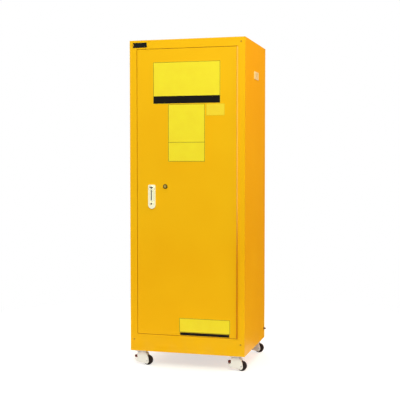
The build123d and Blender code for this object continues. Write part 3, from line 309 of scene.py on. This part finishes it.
def dress(tree, shader, colour, grain):
    """Gives the shader its colour and its grain."""
    tree.links.new(colour, shader.inputs["Base Color"])
    tree.links.new(grain["Roughness"], shader.inputs["Roughness"])
    tree.links.new(grain["Normal"], shader.inputs["Normal"])


def cloudy(tree, place, scale, first, second):
    """Two near tones in large soft clouds."""
    share = ramp(tree, noise(tree, place, scale, CLOUD_DETAIL), CLOUD_BAND)
    return blend_colours(tree, share, first, second)


def coated(name, first, second, edge, roughness=0.38, peel=0.00008, dust=0.08, sheen=0.07, foot=None):
    """Paint on steel, with a slight peel, paler edges, some dust and perhaps a darker foot of painted shade.
    """
    material, tree, shader, place = start_material(name)
    colour = cloudy(tree, place, PAINT_CLOUD, first, second)
    # A foot of painted shade: darker towards the bottom
    if foot:
        share = ramp(tree, height_of(tree, place), PAINTED_SHADE_FADE, interpolation_type="SMOOTHSTEP")
        colour = blend_colours(tree, share, foot, colour)
    worn = placed(tree, EDGES, {**PAINT_EDGE, "Vector": place})
    colour = blend_colours(tree, worn["Mask"], colour, edge)
    dusty = placed(tree, DUST, {"Vector": place, "Reach": PAINT_DUST_REACH, "Amount": dust})
    colour = blend_colours(tree, dusty["Mask"], colour, PAINT_DUST)
    grain = placed(tree, GRAIN, {**PAINT_GRAIN, "Vector": place, "Roughness": roughness, "Height": peel})
    dress(tree, shader, colour, grain)
    shader.inputs["Specular IOR Level"].default_value = sheen
    return material


def drawn_steel(name, first, second, roughness, stretch, spread=0.06):
    """Bare sheet or bar with fine lines along one way."""
    material, tree, shader, place = start_material(name)
    lines = node(tree, "ShaderNodeMapping", {"Vector": place, "Scale": stretch}).outputs["Vector"]
    grain = placed(tree, GRAIN, {"Vector": lines, "Scale": 1.0, "Roughness": roughness,
                                 "Spread": spread, "Height": STEEL_HEIGHT})
    worn = placed(tree, EDGES, {**STEEL_EDGE, "Vector": place})
    colour = blend_colours(tree, grain["Tone"], first, second)
    colour = blend_colours(tree, worn["Mask"], colour, STEEL_EDGE_TONE)
    dress(tree, shader, colour, grain)
    shader.inputs["Metallic"].default_value = 1.0
    return material


def zinc_plate(name):
    """Zinc plate with its patches of crystal."""
    material, tree, shader, place = start_material(name)
    crystal = node(tree, "ShaderNodeTexVoronoi", {"Vector": place, "Scale": ZINC_CRYSTAL})
    share = node(tree, "ShaderNodeSeparateXYZ", {0: crystal.outputs["Color"]})
    colour = blend_colours(tree, share.outputs["X"], *ZINC_TONES)
    dress(tree, shader, colour, placed(tree, GRAIN, {**ZINC_GRAIN, "Vector": place}))
    shader.inputs["Metallic"].default_value = 1.0
    return material


def moulded(name, first, second, roughness, texture, dust=0.3, sheen=0.5):
    """Moulded plastic or rubber with a fine mould texture."""
    material, tree, shader, place = start_material(name)
    colour = cloudy(tree, place, MOULD_CLOUD, first, second)
    dusty = placed(tree, DUST, {"Vector": place, "Reach": MOULD_DUST_REACH, "Amount": dust})
    colour = blend_colours(tree, dusty["Mask"], colour, MOULD_DUST)
    grain = placed(tree, GRAIN, {**MOULD_GRAIN, "Vector": place, "Roughness": roughness,
                                 "Height": texture})
    dress(tree, shader, colour, grain)
    shader.inputs["Specular IOR Level"].default_value = sheen
    return material


def printed(name, first, second, sheen=0.5):
    """Ink on a glossy film."""
    material, tree, shader, place = start_material(name)
    colour = cloudy(tree, place, PRINT_CLOUD, first, second)
    dress(tree, shader, colour, placed(tree, GRAIN, {**PRINT_GRAIN, "Vector": place}))
    shader.inputs["Specular IOR Level"].default_value = sheen
    return material


# The finish of each slot in the record, each with two near tones
FINISHES = {
    "yellow_paint": coated(
        "yellow_powder_coat", (0.94, 0.485, 0.005), (0.97, 0.535, 0.007), edge=(0.98, 0.64, 0.10)),
    "painted_screws": coated(
        "screw_paint", (0.50, 0.24, 0.01), (0.58, 0.29, 0.015), edge=(0.75, 0.55, 0.30), dust=0.1),
    # Hinge paint paler than the body as a painted highlight along the knuckles, and darker towards its foot
    # as painted shade
    "hinge_steel": coated(
        "hinge_paint", (0.94, 0.50, 0.06), (0.96, 0.55, 0.10), edge=(0.96, 0.62, 0.22), roughness=0.4,
        foot=(0.62, 0.23, 0.008)),
    "polished_steel": drawn_steel(
        "polished_liner", (0.80, 0.79, 0.77), (0.88, 0.87, 0.86), roughness=0.2, stretch=(220, 220, 6)),
    "shelf_steel": drawn_steel(
        "satin_shelf", (0.58, 0.57, 0.55), (0.68, 0.67, 0.65), roughness=0.32, stretch=(8, 260, 260)),
    # Chrome with a cream-yellow base: a painted reflection of the warm surroundings it mirrors
    "handle_chrome": drawn_steel(
        "handle_chrome", (0.84, 0.84, 0.57), (0.94, 0.93, 0.65), roughness=0.18, stretch=(90, 90, 90),
        spread=0.04),
    "lock_metal": drawn_steel(
        "lock_nickel", (0.09, 0.06, 0.008), (0.14, 0.10, 0.015), roughness=0.3, stretch=(160, 160, 160)),
    "zinc_steel": zinc_plate("zinc_plate"),
    "seal_rubber": moulded(
        "door_seal", (0.60, 0.59, 0.56), (0.68, 0.67, 0.64), roughness=0.6, texture=0.00004),
    "pale_plastic": moulded(
        "vent_plastic", (0.96, 0.84, 0.48), (0.97, 0.88, 0.56), roughness=0.42, texture=0.00004,
        dust=0.1),
    "white_plastic": moulded(
        "hood_plastic", (0.90, 0.90, 0.91), (0.94, 0.93, 0.93), roughness=0.32, texture=0.00003,
        dust=0.1),
    "wheel_rubber": moulded(
        "tread_rubber", (0.012, 0.006, 0.006), (0.020, 0.010, 0.010), roughness=0.55, texture=0.00008,
        dust=0.06, sheen=0.15),
    "red_plastic": moulded(
        "pedal_plastic", (0.11, 0.014, 0.010), (0.15, 0.018, 0.013), roughness=0.35, texture=0.00003,
        dust=0.0, sheen=0.2),
}

# Nodes whose finish differs from that of their slot
OWN_FINISHES = {
    "lock_cover": coated(
        "cover_powder_coat", (0.95, 0.56, 0.003), (0.98, 0.61, 0.004), edge=(0.98, 0.70, 0.10)),
    # The plug is paler than the barrel as a painted highlight: the glints beside its slot
    "round_lock_plug": drawn_steel(
        "plug_painted_glints", (0.36, 0.27, 0.06), (0.44, 0.34, 0.09), roughness=0.3, stretch=(160, 160, 160)),
    "ground_stud": drawn_steel(
        "dark_stud", (0.13, 0.08, 0.04), (0.20, 0.12, 0.06), roughness=0.4, stretch=(160, 160, 160)),
    "ground_nuts": drawn_steel(
        "dark_nut", (0.13, 0.08, 0.04), (0.20, 0.12, 0.06), roughness=0.4, stretch=(160, 160, 160)),
    "shelf_uprights": drawn_steel(
        "bright_upright", (0.93, 0.93, 0.92), (0.97, 0.97, 0.96), roughness=0.55, stretch=(200, 200, 8)),
}

# Finishes of the pieces that are modelled here
LEMON_FILM = printed("lemon_film", (0.92, 0.74, 0.004), (0.94, 0.78, 0.006))
PALE_FILM = printed("pale_film", (0.93, 0.66, 0.008), (0.95, 0.70, 0.012))
DARK_INK = printed("dark_ink", (0.006, 0.006, 0.005), (0.010, 0.009, 0.008), sheen=0.06)
KEY_INK = printed("keyline_ink", (0.20, 0.13, 0.01), (0.25, 0.16, 0.012), sheen=0.1)
FAINT_INK = printed("faint_keyline_ink", (0.80, 0.50, 0.008), (0.84, 0.54, 0.010), sheen=0.1)
BLACK_PLATE = moulded(
    "black_plate", (0.008, 0.008, 0.008), (0.014, 0.014, 0.014), roughness=0.28, texture=0.00002,
    dust=0.0, sheen=0.06)
SEALANT = moulded(
    "dark_sealant", (0.075, 0.072, 0.070), (0.11, 0.105, 0.10), roughness=0.6, texture=0.00004, dust=0.0)
FLAG_CLOTH = moulded(
    "flag_cloth", (0.10, 0.045, 0.010), (0.14, 0.060, 0.014), roughness=0.9, texture=0.0, dust=0.0)
# Near-black for the painted shade and dark reflection on the handle
PAINTED_HANDLE_SHADE = moulded(
    "painted_handle_shade", (0.030, 0.030, 0.026), (0.045, 0.045, 0.040), roughness=0.5, texture=0.00005,
    dust=0.0)


def finish_cad_nodes():
    """Every CAD node takes its own finish, or that of its slot in the record."""
    for entry in frame["record"]["subparts"]:
        mesh = frame["nodes"][entry["node"]].data
        mesh.materials.clear()
        mesh.materials.append(OWN_FINISHES.get(entry["node"]) or FINISHES[entry["material_slot"]])


def start_block(name, lows, highs):
    """A block between two corners, open in edit mode."""
    bpy.ops.object.select_all(action="DESELECT")
    middle = [(low + high) / 2 for low, high in zip(lows, highs)]
    size = [high - low for low, high in zip(lows, highs)]
    bpy.ops.mesh.primitive_cube_add(size=1.0, location=middle)
    made = bpy.context.active_object
    made.name = name
    made.data.name = name
    made.scale = size
    bpy.ops.object.transform_apply(location=True, rotation=True, scale=True)
    bpy.ops.object.mode_set(mode="EDIT")
    return made


def pick_faces(made, test):
    """Selects the faces that pass a test and nothing else."""
    bpy.ops.mesh.select_all(action="DESELECT")
    bpy.ops.object.mode_set(mode="OBJECT")
    for face in made.data.polygons:
        face.select = bool(test(face))
    bpy.ops.object.mode_set(mode="EDIT")
    bpy.ops.mesh.select_mode(type="FACE")


def pick_edges(made, test):
    """Selects the edges whose two ends pass a test and nothing else."""
    bpy.ops.mesh.select_mode(type="EDGE")
    bpy.ops.mesh.select_all(action="DESELECT")
    bpy.ops.object.mode_set(mode="OBJECT")
    points = made.data.vertices
    for edge in made.data.edges:
        edge.select = bool(test(points[edge.vertices[0]].co, points[edge.vertices[1]].co))
    bpy.ops.object.mode_set(mode="EDIT")


def faces_front(face):
    return face.normal.y < FRONT_NORMAL


def runs_through(first, second):
    return abs(first.y - second.y) > SIGN_THICK / 2


def pick_alone(made):
    """Makes one object the only one that is selected, and the active one."""
    bpy.ops.object.select_all(action="DESELECT")
    made.select_set(True)
    bpy.context.view_layer.objects.active = made


def end_piece(made, body):
    """Leaves edit mode, smooths what is nearly flat, and hangs the piece on its body."""
    bpy.ops.object.mode_set(mode="OBJECT")
    pick_alone(made)
    bpy.ops.object.shade_smooth_by_angle(angle=SMOOTH_ANGLE)
    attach(made, body)


def start_card(name, edges, thick, corner, steps):
    """A card on the front with rounded corners, in edit mode with its front face selected."""
    left, right, low, high = edges
    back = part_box("door_outer_skin")[0].y - SIGN_GAP
    made = start_block(name, (left, back - thick, low), (right, back, high))
    pick_edges(made, runs_through)
    bpy.ops.mesh.bevel(offset=corner, segments=steps)
    pick_faces(made, faces_front)
    return made


def cut_level(height):
    """Cuts all faces by a level plane."""
    bpy.ops.mesh.select_all(action="SELECT")
    bpy.ops.mesh.bisect(plane_co=(0, 0, height), plane_no=(0, 0, 1))


def sign_card(name, edges, ground, lines=(), bands=(), ink=KEY_INK):
    """A printed card on the door: a keyline round its ground, cross lines and dark bands."""
    made = start_card(name, edges, SIGN_THICK, SIGN_CORNER, ROUND_STEPS)
    bpy.ops.mesh.inset(thickness=KEYLINE_INSET)
    bpy.ops.mesh.inset(thickness=KEYLINE_WIDTH)
    for line in lines:
        cut_level(line - DIVIDER_HALF)
        cut_level(line + DIVIDER_HALF)
    for band in bands:
        cut_level(band)
    bpy.ops.object.mode_set(mode="OBJECT")
    for material in (ground, ink, DARK_INK):
        made.data.materials.append(material)
    for face in made.data.polygons:
        face.material_index = card_zone(face, edges, lines, bands)
    bpy.ops.object.mode_set(mode="EDIT")
    end_piece(made, "door")


def card_zone(face, edges, lines, bands):
    """Which ink a face of a card carries."""
    left, right, low, high = edges
    x, z = face.center.x, face.center.z
    inside = min(x - left, right - x, z - low, high - z)
    if not faces_front(face) or inside < KEYLINE_INSET:
        return GROUND
    if any(z < band for band in bands):
        return BAND
    if inside < KEYLINE_INSET + KEYLINE_WIDTH or any(abs(z - line) < DIVIDER_HALF for line in lines):
        return KEYLINE
    return GROUND


def front_nameplate():
    """A bare black plate on the top rail, its face sunk inside a narrow rim."""
    made = start_card("front_nameplate", NAMEPLATE, NAMEPLATE_THICK, NAMEPLATE_CORNER, FINE_ROUND_STEPS)
    bpy.ops.mesh.inset(thickness=NAMEPLATE_RIM)
    bpy.ops.transform.translate(value=(0, NAMEPLATE_SINK, 0))
    made.data.materials.append(BLACK_PLATE)
    end_piece(made, "cabinet")


def dark_band(name, edges):
    """A narrow dark strip under a label."""
    made = start_card(name, edges, SIGN_THICK, SIGN_CORNER, ROUND_STEPS)
    bpy.ops.mesh.inset(thickness=KEYLINE_INSET)
    made.data.materials.append(DARK_INK)
    end_piece(made, "door")


def about_lever(half_width):
    """The two sides of a strip that runs along the middle of the grip."""
    low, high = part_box("grip_lever")
    middle = (low.x + high.x) / 2
    return middle - half_width, middle + half_width


def painted_groove_shade():
    """A dark strip in the grip's groove, with its front edges rounded: painted shade and dark reflection
    along the groove.
    """
    left, right = about_lever(GROOVE_SHADE_WIDTH / 2)
    made = start_block("painted_groove_shade", (left, GROOVE_SHADE_FRONT, GROOVE_SHADE_LOW), (right, GROOVE_SHADE_BACK, GROOVE_SHADE_HIGH))
    pick_edges(made, lambda first, second: max(first.y, second.y) < GROOVE_SHADE_FRONT + GROOVE_SHADE_RADIUS)
    bpy.ops.mesh.bevel(offset=GROOVE_SHADE_RADIUS, segments=ROUND_STEPS)
    made.data.materials.append(PAINTED_HANDLE_SHADE)
    end_piece(made, "lever")


def raised_line(name, half_width, zs, corner, body):
    """A thin dark film on the front of the grip or its head, with rounded corners: painted shade."""
    left, right = about_lever(half_width)
    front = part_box("grip_lever")[0].y
    made = start_block(name, (left, front - LINE_THICK, zs[0]), (right, front + LINE_SINK, zs[1]))
    pick_edges(made, lambda first, second: abs(first.y - second.y) > LINE_THICK)
    bpy.ops.mesh.bevel(offset=corner, segments=FINE_ROUND_STEPS)
    pick_faces(made, faces_front)
    bpy.ops.mesh.inset(thickness=LINE_THICK)
    made.data.materials.append(PAINTED_HANDLE_SHADE)
    end_piece(made, body)


def handle_lines():
    """The painted dark line over the tongue, and the stem and bar that end it on the head, the bar being
    painted shade in the gap at the head's top.
    """
    half = GROOVE_SHADE_WIDTH / 2
    raised_line("tongue_line", half, (LINE_LOW, LINE_HIGH), GROOVE_SHADE_RADIUS, "lever")
    raised_line("head_stem", half, (STEM_LOW, STEM_HIGH), GROOVE_SHADE_RADIUS, "handle_turner")
    raised_line("head_bar", BAR_HALF_WIDTH, (BAR_LOW, BAR_HIGH), BAR_CORNER, "handle_turner")


def box_corners(node_name, radius, facing):
    """Where a node's four outer screws sit: the corners of its box, on the face they stand on."""
    low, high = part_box(node_name)
    front = low.y if facing < 0 else high.y
    sides = (low.x + radius, high.x - radius)
    levels = (low.z + radius, high.z - radius)
    return [(x, front, z) for x in sides for z in levels]


def screw_heads(name, tips, radius, rise, facing, body):
    """Dome heads with a cross recess, one modelled and copied to each place."""
    first = cross_head(radius, rise, facing)
    heads = []
    for x, tip, z in tips:
        head = first.copy()
        head.data = first.data.copy()
        bpy.context.scene.collection.objects.link(head)
        head.location = (x, tip - facing * rise, z)
        heads.append(head)
    bpy.data.objects.remove(first)
    made = heads[0]
    pick_alone(made)
    for head in heads:
        head.select_set(True)
    bpy.ops.object.transform_apply(location=True, rotation=True, scale=True)
    bpy.ops.object.join()
    made.name = name
    made.data.name = name
    made.data.materials.append(FINISHES["painted_screws"])
    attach(made, body)
    return made


def cross_head(radius, rise, facing):
    """One screw head about the origin: a disc with a rounded rim and a cross cut into its face."""
    bpy.ops.object.select_all(action="DESELECT")
    bpy.ops.mesh.primitive_cylinder_add(vertices=SCREW_SIDES, radius=radius, depth=rise,
                                        location=(0, facing * rise / 2, 0), rotation=(QUARTER_TURN, 0, 0))
    head = bpy.context.active_object
    bpy.ops.object.transform_apply(location=True, rotation=True, scale=True)
    bpy.ops.object.mode_set(mode="EDIT")
    depth = rise * CROSS_DEPTH_SHARE
    pick_edges(head, lambda first, second: min(facing * first.y, facing * second.y) > depth)
    bpy.ops.mesh.bevel(offset=rise * SCREW_DOME_SHARE, segments=FINE_ROUND_STEPS)
    bpy.ops.object.mode_set(mode="OBJECT")
    for turn in (0, QUARTER_TURN):
        cut_recess(head, radius, rise, facing, turn)
    pick_alone(head)
    bpy.ops.object.shade_smooth_by_angle(angle=SCREW_SMOOTH)
    return head


def cut_recess(head, radius, rise, facing, turn):
    """One arm of the cross, cut by a block that reaches down into the head."""
    depth = rise * CROSS_DEPTH_SHARE
    bpy.ops.object.select_all(action="DESELECT")
    bpy.ops.mesh.primitive_cube_add(size=1.0, location=(0, facing * rise, 0), rotation=(0, turn, 0))
    arm = bpy.context.active_object
    arm.scale = (2 * radius * CROSS_LENGTH_SHARE, 2 * depth, 2 * radius * CROSS_WIDTH_SHARE)
    bpy.ops.object.transform_apply(location=True, rotation=True, scale=True)
    bpy.context.view_layer.objects.active = head
    cut = head.modifiers.new("cross_arm", "BOOLEAN")
    cut.operation = "DIFFERENCE"
    cut.object = arm
    bpy.ops.object.modifier_apply(modifier=cut.name)
    bpy.data.objects.remove(arm)


def frame_screws():
    """The screws at the corners of the front frame."""
    tips = box_corners("frame_screws", FRAME_SCREW_RADIUS, -1)
    made = screw_heads("frame_screw_heads", tips, FRAME_SCREW_RADIUS, FRAME_SCREW_RISE, -1, "cabinet")
    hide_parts("frame_screws")


def cover_screws():
    """The screws at the corners of the access cover inside the door."""
    tips = box_corners("lock_cover_screws", COVER_SCREW_RADIUS, 1)
    made = screw_heads("cover_screw_heads", tips, COVER_SCREW_RADIUS, COVER_SCREW_RISE, 1, "door")
    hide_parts("lock_cover_screws")


def guide_screws():
    """A screw through the door's inner pan at the highest and the lowest rod guide."""
    low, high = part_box("rod_guides")
    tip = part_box("door_inner_pan")[1].y + COVER_SCREW_RISE
    middle = (low.x + high.x) / 2
    tips = [(middle, tip, low.z + GUIDE_HALF), (middle, tip, high.z - GUIDE_HALF)]
    screw_heads("guide_screw_heads", tips, COVER_SCREW_RADIUS, COVER_SCREW_RISE, 1, "door")


def seam_bead(name, lows, highs, free):
    """A bead of dark sealant in a corner of the liner, rounded off along its free edge.

    free holds where that edge lies on two of the axes.
    """
    def is_free(*ends):
        return all(abs(end[axis] - at) < SEAM_TOUCH for end in ends for axis, at in free.items())

    made = start_block(name, lows, highs)
    pick_edges(made, is_free)
    bpy.ops.mesh.bevel(offset=SEAM_WIDTH * SEAM_ROUND_SHARE, segments=FINE_ROUND_STEPS)
    made.data.materials.append(SEALANT)
    end_piece(made, "cabinet")


def liner_seams():
    """Beads up both rear corners and along three edges of the ceiling."""
    left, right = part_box("liner_left")[1].x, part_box("liner_right")[0].x
    rear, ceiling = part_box("liner_rear")[0].y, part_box("liner_ceiling")[0].z
    rim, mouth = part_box("liner_sump")[1].z + SEAM_WIDTH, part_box("liner_ceiling")[0].y + SEAM_WIDTH
    in_left, in_right = left + SEAM_WIDTH, right - SEAM_WIDTH
    in_rear, in_top = rear - SEAM_WIDTH, ceiling - SEAM_WIDTH
    seam_bead("left_corner_seam", (left, in_rear, rim), (in_left, rear, ceiling),
              free={0: in_left, 1: in_rear})
    seam_bead("right_corner_seam", (in_right, in_rear, rim), (right, rear, ceiling),
              free={0: in_right, 1: in_rear})
    seam_bead("rear_ceiling_seam", (in_left, in_rear, in_top), (in_right, rear, ceiling),
              free={1: in_rear, 2: in_top})
    seam_bead("left_ceiling_seam", (left, mouth, in_top), (in_left, in_rear, ceiling),
              free={0: in_left, 2: in_top})
    seam_bead("right_ceiling_seam", (in_right, mouth, in_top), (right, in_rear, ceiling),
              free={0: in_right, 2: in_top})


def seen_rays(tree):
    """One for rays from the camera and for those reflected or bent."""
    path = node(tree, "ShaderNodeLightPath").outputs
    first = maths(tree, "MAXIMUM", path["Is Camera Ray"], path["Is Glossy Ray"])
    return maths(tree, "MAXIMUM", first, path["Is Transmission Ray"])


def mix_shaders(tree, share, first, second):
    return node(tree, "ShaderNodeMixShader", {0: share, 1: first.outputs[0], 2: second.outputs[0]})


def floor_finish():
    """Pale floor near the cabinet, which fades to plain white further out."""
    material = bpy.data.materials.new("pale_floor")
    material.use_nodes = True
    tree = material.node_tree
    tree.nodes.clear()
    place = node(tree, "ShaderNodeTexCoord").outputs["Object"]
    far = node(tree, "ShaderNodeVectorMath", {0: place}, operation="LENGTH").outputs["Value"]
    fade = ramp(tree, far, FLOOR_FADE, interpolation_type="SMOOTHSTEP")
    tone = blend_colours(tree, noise(tree, place, FLOOR_CLOUD, CLOUD_DETAIL), *FLOOR_TONES)
    matt = node(tree, "ShaderNodeBsdfDiffuse", {"Color": tone})
    seen = seen_rays(tree)
    lift = maths(tree, "MULTIPLY", seen, FLOOR_GLOW)
    glow = node(tree, "ShaderNodeEmission", {"Color": WHITE, "Strength": lift})
    near = node(tree, "ShaderNodeAddShader", {0: matt.outputs[0], 1: glow.outputs[0]})
    plain = node(tree, "ShaderNodeEmission", {"Color": WHITE, "Strength": seen})
    end = tree.nodes.new("ShaderNodeOutputMaterial")
    tree.links.new(mix_shaders(tree, fade, near, plain).outputs[0], end.inputs["Surface"])
    return material


def lay_floor():
    """A pale floor that keeps the shadow."""
    bpy.ops.object.select_all(action="DESELECT")
    bpy.ops.mesh.primitive_circle_add(vertices=FLOOR_SIDES, radius=FLOOR_RADIUS, fill_type="NGON",
                                      location=(0, 0, 0))
    floor = bpy.context.active_object
    floor.name = "studio_floor"
    floor.data.materials.append(floor_finish())


def surround():
    """White where it is seen, and a softer light for what it falls on."""
    world = bpy.data.worlds.new("studio_world")
    bpy.context.scene.world = world
    world.use_nodes = True
    tree = world.node_tree
    tree.nodes.clear()
    shown = node(tree, "ShaderNodeBackground", {"Color": WHITE, "Strength": 1.0})
    light = node(tree, "ShaderNodeBackground", {"Color": WORLD_TINT, "Strength": WORLD_LIGHT})
    end = tree.nodes.new("ShaderNodeOutputWorld")
    tree.links.new(mix_shaders(tree, seen_rays(tree), light, shown).outputs[0], end.inputs["Surface"])


def stand_flag():
    """A dark card behind and to the right, seen only in reflections."""
    bpy.ops.object.select_all(action="DESELECT")
    bpy.ops.mesh.primitive_plane_add(size=1.0, location=FLAG_PLACE, rotation=(QUARTER_TURN, 0, 0))
    flag = bpy.context.active_object
    flag.name = "dark_flag"
    flag.scale = (FLAG_WIDTH, FLAG_HEIGHT, 1.0)
    flag.data.materials.append(FLAG_CLOTH)
    flag.visible_camera = False
    flag.visible_diffuse = False
    flag.visible_shadow = False


def hold(name, data, place, aim):
    """An object for a lamp or camera, at a place and turned to what it aims at."""
    holder = bpy.data.objects.new(name, data)
    bpy.context.scene.collection.objects.link(holder)
    holder.location = place
    holder.rotation_euler = (Vector(aim) - Vector(place)).to_track_quat("-Z", "Y").to_euler()
    return holder


def hang_lamps():
    for name, (place, aim, width, height, watts, colour) in LAMPS.items():
        lamp = bpy.data.lights.new(name, "AREA")
        lamp.shape = "RECTANGLE"
        lamp.size, lamp.size_y = width, height
        lamp.energy = watts
        lamp.color = colour
        hold(name, lamp, place, aim)


def set_camera():
    camera = bpy.data.cameras.new("front_camera")
    camera.lens = LENS
    camera.sensor_width = SENSOR
    camera.clip_end = SIGHT
    bpy.context.scene.camera = hold("front_camera", camera, CAMERA_PLACE, CAMERA_AIM)


finish_cad_nodes()
front_nameplate()
sign_card("upper_sign", UPPER_SIGN, LEMON_FILM, bands=(UPPER_BAND_TOP,))
sign_card("lower_sign", LOWER_SIGN, LEMON_FILM, lines=(LOWER_DIVIDER,))
sign_card("pale_sticker", STICKER, PALE_FILM, ink=FAINT_INK)
sign_card("foot_label", FOOT_LABEL, LEMON_FILM)
dark_band("foot_label_band", FOOT_BAND)
painted_groove_shade()
handle_lines()
frame_screws()
cover_screws()
guide_screws()
liner_seams()
lay_floor()
surround()
stand_flag()
hang_lamps()
set_camera()
bpy.context.scene.view_settings.view_transform = "Standard"
